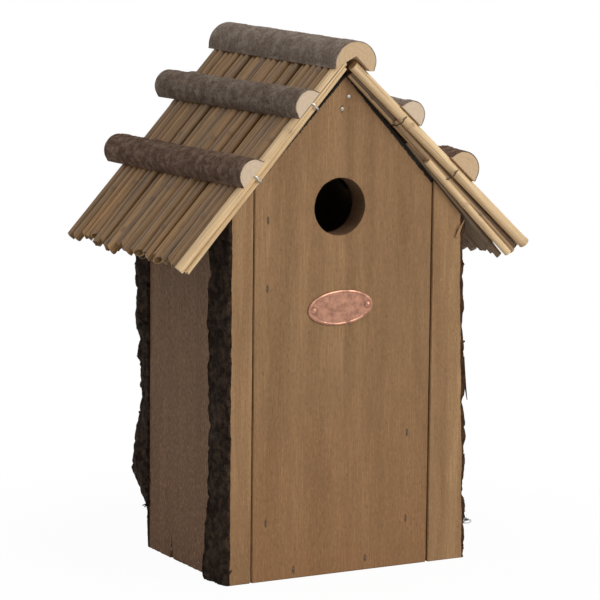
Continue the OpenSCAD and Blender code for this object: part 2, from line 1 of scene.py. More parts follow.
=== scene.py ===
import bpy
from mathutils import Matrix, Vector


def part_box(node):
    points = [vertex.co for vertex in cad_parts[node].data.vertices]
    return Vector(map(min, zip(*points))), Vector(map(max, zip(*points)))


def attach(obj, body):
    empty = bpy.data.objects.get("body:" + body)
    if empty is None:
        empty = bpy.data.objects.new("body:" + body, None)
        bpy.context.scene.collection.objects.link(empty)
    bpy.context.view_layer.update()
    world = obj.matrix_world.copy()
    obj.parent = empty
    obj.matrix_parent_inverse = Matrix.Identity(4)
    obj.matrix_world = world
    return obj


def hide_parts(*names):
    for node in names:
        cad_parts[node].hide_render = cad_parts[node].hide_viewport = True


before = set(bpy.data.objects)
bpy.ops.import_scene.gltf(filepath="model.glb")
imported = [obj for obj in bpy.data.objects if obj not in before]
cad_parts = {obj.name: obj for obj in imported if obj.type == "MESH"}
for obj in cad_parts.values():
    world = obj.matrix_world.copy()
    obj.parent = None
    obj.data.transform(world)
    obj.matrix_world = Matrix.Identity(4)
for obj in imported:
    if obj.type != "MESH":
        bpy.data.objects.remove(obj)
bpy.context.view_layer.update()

import math

import bmesh
import bpy
import numpy as np
from bpy.props import FloatProperty, FloatVectorProperty, IntProperty, PointerProperty
from mathutils import Matrix, Vector, noise

bl_info = {
    "name": "Thatched nest box",
    "version": (1, 0, 0),
    "blender": (4, 5, 0),
    "location": "View3D > Sidebar > Nest box",
    "description": "Dresses the solids of a thatched nest box with wood, bark, reeds and metal",
    "category": "Object",
}

MM = 0.001
PANEL_LOW, PANEL_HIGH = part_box("front_panel")
# The middle of the front board's face on the ground, from which all places below are counted
HOME = Vector(((PANEL_LOW.x + PANEL_HIGH.x) / 2, PANEL_LOW.y, 0.0))


def node_box(node):
    """A node's lowest and highest corners in millimetres, counted from HOME."""
    low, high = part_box(node)
    return (low - HOME) / MM, (high - HOME) / MM


PANEL_HALF = (PANEL_HIGH.x - PANEL_LOW.x) / 2 / MM
PANEL_T = (PANEL_HIGH.y - PANEL_LOW.y) / MM
APEX = PANEL_HIGH.z / MM
# The solids' own angles, places and thicknesses
PITCH = math.radians(47.5)
RISE = math.tan(PITCH)
HOLE = Vector((-3.0, 0.0, 209.3))
HOLE_R = 16.0
LEFT_IN, LEFT_OUT = -57.7, -70.5
RIGHT_IN, RIGHT_OUT = 57.7, 77.8
STRIP_T, WALL_T, BODY_D, BACK_T, BOARD_T = 20.0, 14.0, 102.0, 15.0, 10.0
BACK_Y = BODY_D + BACK_T
PIVOT = Vector((70.8, 0.0, 175.356))
# Heights of the thatch's middles and of the battens' flat sides above each slope, left and right
UNDER_N, UPPER_N, BATTEN_N = 2.4, 8.74, 12.04
RIGHT_UPPER_N, RIGHT_BATTEN_N = 3.3, 6.6
RIGHT_LIFT = math.radians(4.8)
# The middles of the first and the last reed of each slope's upper layer
FRONT_REED_Y, BACK_REED_Y = -5.9, 132.9


def slope_z(x):
    return APEX - abs(x) * RISE


def board_under_z(x):
    return slope_z(x) - BOARD_T / math.cos(PITCH)


def linear(colour, factor=1.0):
    """The linear levels of a colour, given so or by its hexadecimal code on a screen, times a factor."""
    if isinstance(colour, str):
        levels = [int(colour[i:i + 2], 16) / 255 for i in (0, 2, 4)]
        colour = [v / 12.92 if v <= 0.04045 else ((v + 0.055) / 1.055) ** 2.4 for v in levels]
    return tuple(min(1.0, level * factor) for level in colour)


def rough(x, y, z, size, seed, detail=3):
    """A smooth uneven value, mostly from -1 to 1, whose features are as large as size."""
    place = Vector((x / size + seed * 17.31, y / size - seed * 5.17, z / size + seed * 3.73))
    return noise.fractal(place, 1.0, 2.0, detail)


def lookup(value, table):
    """The value of a table of (place, size) pairs at a place, in straight steps."""
    places, sizes = zip(*table)
    return float(np.interp(value, places, sizes))


# Trees


class Net:
    """Short calls that add and join the nodes of one tree."""

    def __init__(self, tree, ins=None):
        self.tree = tree
        self.ins = ins

    def put(self, socket, value):
        """Joins a socket to another one, or gives it a plain value."""
        if isinstance(value, bpy.types.NodeSocket):
            self.tree.links.new(value, socket)
        elif value is not None:
            socket.default_value = value

    def add(self, kind, values=(), **settings):
        """A new node with its settings, and the values of its inputs by name or number."""
        node = self.tree.nodes.new(kind)
        for key, value in settings.items():
            setattr(node, key, value)
        for key, value in dict(values).items():
            if isinstance(key, int):
                self.put(node.inputs[key], value)
            else:
                self.put(next(s for s in node.inputs if s.name == key and s.enabled), value)
        return node

    def get(self, kind, values=(), **settings):
        """The first output in use of a new node."""
        node = self.add(kind, values, **settings)
        return next(s for s in node.outputs if s.enabled)

    def math(self, operation, a, b=None):
        return self.get("ShaderNodeMath", {0: a, 1: b}, operation=operation)

    def vector_math(self, operation, a, b=None, scale=None):
        return self.get("ShaderNodeVectorMath", {0: a, 1: b, 3: scale}, operation=operation)

    def sum(self, first, *rest):
        for value in rest:
            first = self.math("ADD", first, value)
        return first

    def product(self, first, *rest):
        for value in rest:
            first = self.math("MULTIPLY", first, value)
        return first

    def between(self, value, low, high, out_low=0.0, out_high=1.0):
        return self.get("ShaderNodeMapRange", {0: value, 1: low, 2: high, 3: out_low, 4: out_high})

    def vector(self, x, y, z):
        return self.get("ShaderNodeCombineXYZ", {0: x, 1: y, 2: z})

    def scaled(self, vector, x, y, z):
        return self.vector_math("MULTIPLY", vector, (x, y, z))

    def shrunk(self, vector, size):
        return self.vector_math("SCALE", vector, scale=self.math("DIVIDE", 1.0, size))

    def parts(self, vector):
        return self.add("ShaderNodeSeparateXYZ", {0: vector}).outputs

    def named(self, label, output="Fac"):
        node = self.add("ShaderNodeAttribute", attribute_name=label, attribute_type="GEOMETRY")
        return node.outputs[output]

    def noise(self, vector, scale=1.0, detail=2.0, w=None, roughness=0.5, distortion=0.0):
        values = {"Vector": vector, "Scale": scale, "Detail": detail, "Roughness": roughness,
                  "Distortion": distortion}
        if w is None:
            return self.get("ShaderNodeTexNoise", values)
        return self.get("ShaderNodeTexNoise", {**values, "W": w}, noise_dimensions="4D")

    def mix(self, factor, a, b, blend="MIX"):
        node = self.add("ShaderNodeMix", data_type="RGBA", blend_type=blend, clamp_result=True)
        for index, value in ((0, factor), (6, a), (7, b)):
            if isinstance(value, (str, tuple)):
                value = (*linear(value), 1.0)
            self.put(node.inputs[index], value)
        return node.outputs[2]

    def store(self, solid, label, value, kind="FLOAT"):
        return self.get("GeometryNodeStoreNamedAttribute", {"Geometry": solid, "Name": label, "Value": value},
                        data_type=kind)

    def chance(self, step, low=-1.0, high=1.0, **more):
        """A random number from low to high, after the tree's seed and the step."""
        return self.get("FunctionNodeRandomValue",
                        {"Min": low, "Max": high, "Seed": self.sum(self.ins["Seed"], step), **more})

    def heading(self, spread):
        """A turn that takes Z to the tree's direction, a little aside at random."""
        aside = self.vector(*(self.product(self.chance(step), spread) for step in (1, 2, 3)))
        return self.get("FunctionNodeAlignRotationToVector",
                        {"Vector": self.vector_math("ADD", self.ins["Direction"], aside)}, axis="Z")

    def copies(self, points, instance, **more):
        spread = self.get("GeometryNodeInstanceOnPoints", {"Points": points, "Instance": instance, **more})
        return self.get("GeometryNodeRealizeInstances", {"Geometry": spread})

    def crumpled(self, solid, scale, size):
        """Moves a solid's points unevenly, by about the size."""
        noise = self.add("ShaderNodeTexNoise", {"Scale": scale}).outputs[1]
        bend = self.vector_math("SCALE", self.vector_math("SUBTRACT", noise, (0.5, 0.5, 0.5)), scale=size)
        return self.get("GeometryNodeSetPosition", {"Geometry": solid, "Offset": bend})


def open_tree(name, kind, inputs, outputs):
    """A new node group: its net, its inputs and a call that fills its outputs.

    An input is given by its kind, or by its first value.
    """
    tree = bpy.data.node_groups.new(name, kind)
    for label, default in inputs.items():
        plain = isinstance(default, str)
        socket = default if plain else {int: "Int", float: "Float", tuple: "Vector"}[type(default)]
        item = tree.interface.new_socket(name=label, in_out="INPUT", socket_type="NodeSocket" + socket)
        if not plain:
            item.default_value = default
    for label in outputs:
        socket = "NodeSocketGeometry" if label == "Geometry" else "NodeSocketFloat"
        tree.interface.new_socket(name=label, in_out="OUTPUT", socket_type=socket)
    net = Net(tree, tree.nodes.new("NodeGroupInput").outputs)
    end = tree.nodes.new("NodeGroupOutput")

    def finish(**values):
        for label, value in values.items():
            net.put(end.inputs[label], value)

    return net, net.ins, finish


def open_geometry(name, inputs):
    """A new geometry tree: its net, its inputs and a call that takes its solid."""
    net, ins, finish = open_tree(name, "GeometryNodeTree",
                                 {"Geometry": "Geometry", **inputs, "Material": "Material"}, ("Geometry",))

    def finish_solid(solid):
        finish(Geometry=net.get("GeometryNodeSetMaterial", {"Geometry": solid, "Material": ins["Material"]}))

    return net, ins, finish_solid


# Meshes


def spaced(low, high, step, edge=0.5, through=()):
    """Places from low to high about a step apart, with a narrow first and last one for a worn edge."""
    stops = sorted({low + edge, high - edge, *through})
    places = [low]
    for a, b in zip(stops, stops[1:]):
        count = max(1, round((b - a) / step))
        places += [a + (b - a) * i / count for i in range(count)]
    return places + [high - edge, high]


def skin(columns, rows, layers):
    """The outside of a lattice of points: (column, row, layer) of each point, and the faces."""
    index = {}

    def point(*key):
        return index.setdefault(key, len(index))

    faces = []
    for fixed, (first, second) in enumerate(((1, 2), (0, 2), (0, 1))):
        sizes = (columns, rows, layers)
        for level in (0, sizes[fixed]):
            for a in range(sizes[first]):
                for b in range(sizes[second]):
                    corners = []
                    for da, db in ((0, 0), (1, 0), (1, 1), (0, 1)):
                        key = [0, 0, 0]
                        key[fixed], key[first], key[second] = level, a + da, b + db
                        corners.append(point(*key))
                    faces.append(corners)
    return list(index), faces


def circle(sides):
    """The angles of a ring's points."""
    return [2 * math.pi * i / sides for i in range(sides)]


def ring_faces(a, b, sides):
    """The faces between two rings whose first points are a and b."""
    return [[a + i, a + (i + 1) % sides, b + (i + 1) % sides, b + i] for i in range(sides)]


def fan(first, sides, middle):
    """The faces between a ring and a point in its middle."""
    return [[first + i, first + (i + 1) % sides, middle] for i in range(sides)]


def place_object(name, data):
    """A new object at the origin of the scene."""
    piece = bpy.data.objects.new(name, data)
    bpy.context.scene.collection.objects.link(piece)
    return piece


def new_mesh(name, points, edges=(), faces=()):
    """A mesh from points in millimetres from HOME."""
    mesh = bpy.data.meshes.new(name)
    mesh.from_pydata([HOME + Vector(p) * MM for p in points], edges, faces)
    return mesh


def new_piece(name, points, faces, materials, face_slots=None, crease=50.0, values=None):
    """A mesh object from points in millimetres from HOME, with its faces turned outwards."""
    mesh = new_mesh(name, points, faces=faces)
    for material in materials:
        mesh.materials.append(get(material))
    if face_slots is not None:
        mesh.polygons.foreach_set("material_index", face_slots)
    for label, numbers in (values or {}).items():
        kind = "FLOAT_VECTOR" if np.ndim(numbers) == 2 else "FLOAT"
        layer = mesh.attributes.new(label, kind, "POINT")
        layer.data.foreach_set("vector" if kind == "FLOAT_VECTOR" else "value",
                               np.asarray(numbers, dtype=float).ravel())
    work = bmesh.new()
    work.from_mesh(mesh)
    bmesh.ops.recalc_face_normals(work, faces=work.faces)
    work.to_mesh(mesh)
    work.free()
    soften(mesh, crease)
    return place_object(name, mesh)


def soften(mesh, crease):
    mesh.shade_smooth()
    mesh.set_sharp_from_angle(angle=math.radians(crease))


def settle(piece):
    """Turns what the piece's modifiers make into its plain mesh."""
    graph = bpy.context.evaluated_depsgraph_get()
    mesh = bpy.data.meshes.new_from_object(
        piece.evaluated_get(graph), preserve_all_data_layers=True, depsgraph=graph)
    piece.modifiers.clear()
    old = piece.data
    piece.data = mesh
    bpy.data.meshes.remove(old)


def cut(piece, *cutters):
    """Takes the cutters' shapes out of a piece. A new face is in the slot of its cutter's face."""
    for shape in cutters:
        modifier = piece.modifiers.new("cut", "BOOLEAN")
        modifier.operation = "DIFFERENCE"
        modifier.solver = "EXACT"
        modifier.object = shape
    settle(piece)
    for shape in cutters:
        bpy.data.objects.remove(shape)
    soften(piece.data, 35.0)


def carry(piece, slot, *replaced, body="root"):
    """Says which body a piece rides on and which solids it stands for. Its slot, the finish it would take, is
    not used.
    """
    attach(piece, body)
    if replaced:
        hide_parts(*replaced)


def dress(nodes, material):
    """Gives solids that keep their own shape a material."""
    for name in nodes:
        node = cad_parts[name]
        if not node.material_slots:
            node.data.materials.append(get(material))
        for slot in node.material_slots:
            slot.material = get(material)


def board(name, across, deep, high, shape, materials, wear=0.35, seed=1, values=None):
    """A board from three lists of places, bent to its real outline by shape, with worn edges.

    values gives the points' attributes from their places across.
    """
    keys, faces = skin(len(across) - 1, len(deep) - 1, len(high) - 1)
    last = (len(across) - 1, len(deep) - 1, len(high) - 1)
    points = []
    for key in keys:
        x, y, z = shape(across[key[0]], deep[key[1]], high[key[2]])
        ends = [-1 if k == 0 else (1 if k == n else 0) for k, n in zip(key, last)]
        if sum(map(abs, ends)) > 1:
            pull = wear * (1 + 0.8 * abs(rough(x, y, z, 9, seed)))
            x, y, z = (v - e * pull for v, e in zip((x, y, z), ends))
        points.append((x, y, max(z, 0.0)))
    marks = values(np.array([across[key[0]] for key in keys])) if values else None
    return new_piece(name, points, faces, materials, values=marks)


# Shared effects of the materials

FIBRE_WIDTH, FIBRE_LENGTH = 0.7, 18.0


def grain_group():
    net, ins, finish = open_tree("board_grain", "ShaderNodeTree", {"Vector": "Vector", "Band Width": 16.0},
                                 ("Bands", "Fibres", "Flecks", "Height"))
    place = ins["Vector"]
    bands = net.noise(net.scaled(net.shrunk(place, ins["Band Width"]), 1.0, 1.0, 0.07), detail=3.0,
                      roughness=0.55, distortion=0.25)
    across, along = 1 / FIBRE_WIDTH, 1 / FIBRE_LENGTH
    fibres = net.noise(net.scaled(place, across, across, along), detail=4.0, roughness=0.65)
    flecks = net.noise(net.scaled(place, across * 0.8, across * 0.8, along * 9.0), detail=2.0)
    flecks = net.between(flecks, 0.6, 0.74)
    x, y = net.parts(place)[:2]
    saw = net.math("SINE", net.sum(net.product(x, 5.2), net.product(y, 5.2), net.product(bands, 4.0)))
    height = net.sum(net.product(fibres, 0.7), net.product(saw, 0.05), net.product(flecks, -0.35))
    finish(Bands=bands, Fibres=fibres, Flecks=flecks, Height=height)


def bark_group():
    net, ins, finish = open_tree("bark_tone", "ShaderNodeTree", {"Vector": "Vector", "Size": 8.0},
                                 ("Patches", "Creases", "Height"))
    place = net.shrunk(ins["Vector"], ins["Size"])
    patches = net.between(net.noise(place, 0.8, 4.0, roughness=0.6), 0.42, 0.68)
    fine = net.noise(place, 4.5, 5.0, roughness=0.7, distortion=0.6)
    height = net.sum(net.product(fine, 0.7), net.noise(place, 14.0, 2.0))
    finish(Patches=patches, Creases=net.between(fine, 0.3, 0.5), Height=height)


def dust_group():
    net, ins, finish = open_tree("dust", "ShaderNodeTree", {"Vector": "Vector", "Amount": 0.3, "Size": 20.0},
                                 ("Mask",))
    cloud = net.noise(net.shrunk(ins["Vector"], ins["Size"]), 1.0, 5.0, roughness=0.65)
    finish(Mask=net.product(net.between(cloud, 0.42, 0.72), ins["Amount"]))


# Materials


def get(name):
    return bpy.data.materials[name + "_finish"]


def open_material(name):
    """A new material's net, its coordinates in millimetres and a call that fills its shader."""
    material = bpy.data.materials.new(name + "_finish")
    material.use_nodes = True
    net = Net(material.node_tree)
    shader = material.node_tree.nodes["Principled BSDF"]
    place = net.scaled(net.tree.nodes.new("ShaderNodeTexCoord").outputs["Object"], *(1 / MM,) * 3)

    def finish(colour, roughness, height, relief, strength=0.6, **sockets):
        bump = net.get("ShaderNodeBump", {"Height": height, "Distance": relief * MM, "Strength": strength})
        sockets.update(Base_Color=colour, Roughness=roughness, Normal=bump)
        for label, value in sockets.items():
            net.put(shader.inputs[label.replace("_", " ")], value)

    return net, place, finish


def shared(net, group, **values):
    node = net.add("ShaderNodeGroup", node_tree=bpy.data.node_groups[group])
    for label, value in values.items():
        net.put(node.inputs[label.replace("_", " ")], value)
    return node.outputs


SIDE_NAILS_X = LEFT_OUT + WALL_T + 8.3
FRONT_NAILS = ((1.7, APEX - 13.5), (-2.4, APEX - 20.4), (SIDE_NAILS_X, 33.5), (SIDE_NAILS_X, APEX - 118.1),
               (SIDE_NAILS_X, APEX - 80), (PANEL_HALF - 14, 27.3), (PANEL_HALF - 14, 77.3), (-30.1, 5.04),
               (16.2, 6.72))


def front_painted_shade(net, place, tone):
    """Paints shade into the front board's tone: a near-black band under the thatch along the gable edge, and
    a dark slot at each sunken nail.
    """
    x, _, z = net.parts(place)[:3]
    x = net.sum(x, -HOME.x / MM)
    # Painted shade: a near-black band under the thatch along both slopes, with a ragged lower edge
    drop = net.sum(APEX, net.product(net.math("ABSOLUTE", x), -RISE), net.product(z, -1.0))
    shade_band_noise = net.noise(net.scaled(place, 0.8, 0.8, 0.4), 1.0, 3.0, roughness=0.7)
    reach = net.between(x, -45.0, 12.0, 0.0, 1.9)
    depth = net.sum(net.product(drop, math.cos(PITCH)), net.product(reach, -1.0))
    edge = net.sum(depth, net.product(shade_band_noise, -2.6), 1.2)
    tone = net.mix(net.between(edge, -0.15, 0.25, 1.0, 0.0), tone, "140d09")
    # Painted shade: a dark upright slot at each sunken nail but the first
    for nail_x, nail_z in FRONT_NAILS[1:]:
        spot = net.vector(net.product(net.sum(x, -nail_x), 1.3), net.product(net.sum(z, -nail_z), 0.45), 0.0)
        near = net.vector_math("LENGTH", spot)
        tone = net.mix(net.between(near, 0.7, 1.3, 0.75, 0.0), tone, "2c1b13")
    return tone


def sawn_wood(name, colour, dark, light, along="z", relief=0.25, band=16.0, streak=0.55, low_tone=None,
              low_right=1.0, stipple=0.22, marks=None):
    """Rough-sawn wood whose grain runs along one axis. Its low tone shows near the ground."""
    net, place, finish = open_material(name)
    x, y, z = net.parts(place)[:3]
    turned = net.vector(x, z, y) if along == "y" else place
    grain = shared(net, "board_grain", Vector=turned, Band_Width=band)
    dust = shared(net, "dust", Vector=place, Amount=0.35, Size=26.0)
    tone = net.mix(net.between(grain["Bands"], 0.3, 0.7), dark, light)
    tone = net.mix(streak, colour, tone)
    if low_tone:
        side = net.between(x, -20.0, 20.0, 1.0, low_right)
        tone = net.mix(net.product(net.between(z, 120.0, 10.0, 0.0, 0.7), side), tone, low_tone)
    tone = net.mix(net.between(grain["Fibres"], 0.35, 0.7, 0.0, 0.5), tone, dark, "MULTIPLY")
    tone = net.mix(net.between(grain["Fibres"], 0.5, 0.75, 0.0, 0.45), tone, light)
    tone = net.mix(net.product(grain["Flecks"], 0.28), tone, linear(dark, 0.35))
    teeth = net.noise(net.scaled(turned, 1.1, 1.1, 0.4), 1.0, 3.0, roughness=0.75)
    tone = net.mix(net.between(teeth, 0.54, 0.68, 0.0, stipple), tone, dark, "MULTIPLY")
    tone = net.mix(net.between(teeth, 0.48, 0.34, 0.0, stipple), tone, light)
    tone = net.mix(dust["Mask"], tone, linear(colour, 0.72))
    # marks paints shade into the tone: on the front board, the shade under the thatch and in the nail slots
    if marks:
        tone = marks(net, place, tone)
    height = net.sum(grain["Height"], net.product(teeth, -stipple))
    finish(tone, net.between(grain["Fibres"], 0.2, 0.8, 0.72, 0.92), height, relief, Specular_IOR_Level=0.32)


def bark(name, base, patch, crease, size, relief, inner=None):
    """Bark with paler patches and dark creases. The inner tone shows where its attribute is high."""
    net, place, finish = open_material(name)
    tones = shared(net, "bark_tone", Vector=place, Size=size)
    tone = net.mix(tones["Patches"], base, patch)
    # Painted shade: the creases, the low furrows of the bump, are darkened
    tone = net.mix(net.between(tones["Creases"], 0.0, 1.0, 1.0, 0.0), tone, crease)
    if inner:
        spread = net.sum(net.named("inner"), net.product(net.sum(tones["Patches"], -0.5), 0.35))
        tone = net.mix(net.between(spread, 0.35, 0.65), tone, inner)
    finish(tone, 0.93, tones["Height"], relief, 0.9, Specular_IOR_Level=0.12)


def reed_material(name, tones, stain, gloss=0.5, stain_share=0.5):
    """Dry reed with its own tone on each stem, long streaks and darker joints."""
    net, _, finish = open_material(name)
    stem, tint = net.named("stem", "Vector"), net.named("tint")
    seed = net.product(tint, 91.0)
    ramp = net.add("ShaderNodeValToRGB", {0: tint})
    points = ramp.color_ramp.elements
    while len(points) < len(tones):
        points.new(0.5)
    for i, tone in enumerate(tones):
        points[i].position = i / (len(tones) - 1)
        points[i].color = (*linear(tone), 1.0)

    def spots(along, across, detail, step=0.0, roughness=0.5):
        return net.noise(net.scaled(stem, along, across, across), 1.0, detail, net.sum(seed, step), roughness)

    splits = spots(12.0, 1500.0, 2.0, 3.0)
    streaks = spots(22.0, 900.0, 4.0, roughness=0.6)
    fine = spots(60.0, 2600.0, 3.0)
    stains = spots(45.0, 240.0, 4.0, 7.0, 0.65)
    tone = net.mix(net.between(streaks, 0.38, 0.72, 0.0, 0.75), ramp.outputs[0], stain)
    tone = net.mix(net.between(stains, 0.52, 0.75, 0.0, stain_share), tone, linear(stain, 0.5))
    tone = net.mix(net.between(fine, 0.45, 0.8, 0.0, 0.35), tone, linear(tones[-1], 1.5))
    # Partly painted shade: the dark split lines stand for real splits and also for the shaded gaps between
    # reeds
    tone = net.mix(net.between(splits, 0.62, 0.67, 0.0, 0.9), tone, linear(stain, 0.35))
    tone = net.mix(net.product(net.named("joint"), 0.35), tone, linear(stain, 0.6))
    height = net.sum(net.product(streaks, 0.6), net.product(fine, 0.5))
    finish(tone, net.between(fine, 0.2, 0.8, gloss - 0.08, gloss + 0.14), height, 0.22)


def cut_wood(name, pale, ring):
    """The sawn face of a log: growth rings round the pith and a flecked, fibrous surface."""
    net, place, finish = open_material(name)
    face = net.named("face", "Vector")
    warp = net.noise(net.scaled(face, 0.16, 0.16, 0.16), 1.0, 2.0)
    reach = net.vector_math("LENGTH", face)
    rings = net.math("SINE", net.sum(net.product(reach, 2.2), net.product(warp, 9.0)))
    speck = net.noise(place, 1.6, 4.0, roughness=0.7)
    tone = net.mix(net.between(rings, 0.1, 1.0, 0.0, 0.1), pale, ring)
    tone = net.mix(net.between(speck, 0.55, 0.8, 0.0, 0.5), tone, ring)
    tone = net.mix(net.between(speck, 0.25, 0.42, 0.4, 0.0), tone, linear(ring, 0.6))
    finish(tone, 0.88, net.sum(speck, net.product(rings, 0.15)), 0.25)


def metal(name, tone, spot, roughness, metallic=1.0, spot_share=0.6, size=4.0):
    """Weathered metal with duller spots."""
    net, place, finish = open_material(name)
    spots = shared(net, "dust", Vector=place, Amount=spot_share, Size=size)["Mask"]
    fine = net.noise(place, 3.0, 3.0)
    dull = net.sum(net.between(fine, 0.3, 0.7, roughness - 0.08, roughness + 0.1), net.product(spots, 0.3))
    finish(net.mix(spots, tone, spot), dull, fine, 0.08, 0.4,
           Metallic=net.between(spots, 0.0, 0.8, metallic, metallic * 0.45))


# Geometry trees

ROWS, AROUND = 92, 12
LAST_OUTER, FIRST_INNER, LAST_INNER = ROWS - 8, ROWS - 7, ROWS - 2


def reed_tree():
    """A row of hollow reeds along X, side by side along Y, each with joints, bends and a torn end."""
    net, ins, finish = open_geometry("reed_row", {
        "Reeds": 24, "Length": 0.14, "Width": 0.14, "Diameter": 0.006, "Thinner": 0.2, "Ragged": 0.006,
        "Open": 0.01, "Wall": 0.0009, "Joint Spacing": 0.11, "Bend": 0.001, "Dents": 0.0003,
        "Scatter": 0.0004, "Seed": 1})
    line = net.get("GeometryNodeMeshLine", {"Count": ins["Reeds"], "Offset": (0.0, 0.0, 0.0)})
    marked = net.store(line, "reed", net.get("GeometryNodeInputIndex"))
    sheet = net.get("GeometryNodeMeshGrid", {"Size X": 1.0, "Size Y": 1.0, "Vertices X": AROUND + 1,
                                             "Vertices Y": ROWS})
    solid = net.copies(marked, sheet)
    reed = net.get("GeometryNodeInputNamedAttribute", {"Name": "reed"}, data_type="FLOAT")

    def chance(step, low=0.0):
        return net.chance(step, low, ID=reed)

    def swing(x, y, z, detail, w):
        """An uneven value round zero at a place along and around the reed."""
        return net.sum(net.noise(net.vector(x, y, z), 1.0, detail, w=w), -0.5)

    def wave(place, step):
        return swing(place, 0.0, 0.0, 1.0, net.sum(net.product(reed, 3.7), ins["Seed"], step))

    def around(along, reach, detail, salt):
        y, z = net.product(cos_a, reach), net.product(sin_a, reach)
        return swing(along, y, z, detail, net.product(reed, salt))

    px, py = net.parts(net.get("GeometryNodeInputPosition"))[:2]
    angle = net.product(net.sum(px, 0.5), 2 * math.pi)
    row = net.math("ROUND", net.product(net.sum(py, 0.5), float(ROWS - 1)))
    cos_a, sin_a = net.math("COSINE", angle), net.math("SINE", angle)
    outer = net.between(row, 1.0, float(LAST_OUTER))
    inner = net.between(row, float(FIRST_INNER), float(LAST_INNER))
    near_end = net.between(row, float(LAST_OUTER - 4), float(LAST_OUTER))
    length = net.math("SUBTRACT", ins["Length"], net.product(ins["Ragged"], chance(1)))
    skew = net.product(ins["Ragged"], 0.45, chance(2, -1.0), cos_a)
    tooth = swing(net.product(cos_a, 2.4), net.product(sin_a, 2.4), 0.0, 2.0, net.product(reed, 5.3))
    jag = net.product(tooth, ins["Ragged"], 0.5)
    s = net.sum(net.product(length, outer), net.product(net.sum(skew, jag), near_end),
                net.product(ins["Open"], inner, -1.0))
    offset = net.product(chance(3), ins["Joint Spacing"])
    turn = net.math("FRACT", net.math("DIVIDE", net.sum(s, offset), ins["Joint Spacing"]))
    from_joint = net.product(net.math("ABSOLUTE", net.sum(turn, -0.5)), ins["Joint Spacing"])
    joint = net.between(from_joint, 0.0004, 0.0022, 1.0, 0.0)
    radius = net.product(ins["Diameter"], 0.5, net.sum(1.0, net.product(ins["Thinner"], chance(4), -1.0)))
    dents = net.product(around(net.product(s, 16.0), 0.8, 2.0, 9.1), ins["Dents"], 2.0)
    ribs = net.product(around(net.product(s, 9.0), 3.5, 1.0, 2.9), 0.00045)
    full = net.sum(radius, dents, ribs, net.product(joint, 0.0003))
    wall = net.product(ins["Wall"], net.between(row, float(LAST_OUTER), float(FIRST_INNER)))
    inner_end = net.between(row, float(LAST_INNER), float(ROWS - 1), 1.0, 0.0)
    closed = net.product(net.between(row, 0.0, 1.0), inner_end)
    r = net.product(net.math("SUBTRACT", full, wall), closed)
    gaps = net.math("MAXIMUM", net.sum(ins["Reeds"], -1.0), 1.0)
    across = net.math("DIVIDE", net.product(ins["Width"], reed), gaps)
    sway = net.product(wave(net.product(s, 11.0), 4.0), ins["Bend"], 2.6)
    rise = net.sum(net.product(wave(net.product(s, 9.0), 40.0), ins["Bend"], 1.2),
                   net.product(ins["Scatter"], chance(6, -1.0)))
    side, up = net.product(r, cos_a), net.product(r, sin_a)
    solid = net.store(solid, "stem", net.vector(s, side, up), "FLOAT_VECTOR")
    solid = net.store(net.store(solid, "tint", chance(5)), "joint", joint)
    place = net.vector(s, net.sum(across, sway, side), net.sum(rise, up))
    placed = net.get("GeometryNodeSetPosition", {"Geometry": solid, "Position": place})
    finish(net.get("GeometryNodeMergeByDistance", {"Geometry": placed, "Distance": 0.000002}))


def fringe_tree():
    """Torn wood fibres along a path."""
    net, ins, finish = open_geometry("fringe", {
        "Count": 60, "Length": 0.002, "Thickness": 0.0003, "Direction": (0.0, 0.0, -1.0), "Spread": 0.5,
        "Seed": 1})
    curve = net.get("GeometryNodeMeshToCurve", {0: ins["Geometry"]})
    path = net.get("GeometryNodeResampleCurve", {"Curve": curve, "Count": ins["Count"]})
    fibre = net.get("GeometryNodeMeshCone", {
        "Vertices": 4, "Side Segments": 3, "Radius Top": 0.0, "Depth": ins["Length"],
        "Radius Bottom": net.product(ins["Thickness"], 0.5)})
    size = net.vector(net.chance(4, 0.5, 1.6), net.chance(5, 0.5, 1.6),
                      net.math("POWER", net.chance(6, 0.25, 1.0), 1.6))
    solid = net.copies(path, fibre, Rotation=net.heading(ins["Spread"]), Scale=size)
    finish(net.crumpled(solid, 420.0, net.product(ins["Length"], 0.35)))


def flake_tree():
    """Loose bark flakes scattered where a bark's attribute marks its outer face."""
    net, ins, finish = open_geometry("bark_flakes", {
        "Density": 20000.0, "Size": 0.002, "Stretch": 2.0, "Thickness": 0.3, "Seed": 1})
    outer = net.get("GeometryNodeInputNamedAttribute", {"Name": "outer"}, data_type="FLOAT")
    spots = net.add("GeometryNodeDistributePointsOnFaces", {
        "Mesh": ins["Geometry"], "Selection": net.math("GREATER_THAN", outer, 0.6), "Density": ins["Density"],
        "Seed": ins["Seed"]}).outputs
    flake = net.get("GeometryNodeMeshIcoSphere", {"Radius": ins["Size"], "Subdivisions": 1})
    tilt = net.vector(net.chance(1, -0.16, 0.16), net.chance(2, -0.16, 0.16), net.chance(3, 0.0, 6.28))
    spin = net.get("FunctionNodeRotateRotation", {
        "Rotation": spots["Rotation"], "Rotate By": net.get("FunctionNodeEulerToRotation", {0: tilt})},
        rotation_space="LOCAL")
    size = net.vector(net.product(net.chance(4, 0.5, 1.3), ins["Stretch"]), net.chance(5, 0.4, 1.0),
                      net.product(net.chance(6, 0.5, 1.2), ins["Thickness"]))
    solid = net.copies(spots["Points"], flake, Rotation=spin, Scale=size)
    finish(net.crumpled(solid, 500.0, net.product(ins["Size"], 0.8)))


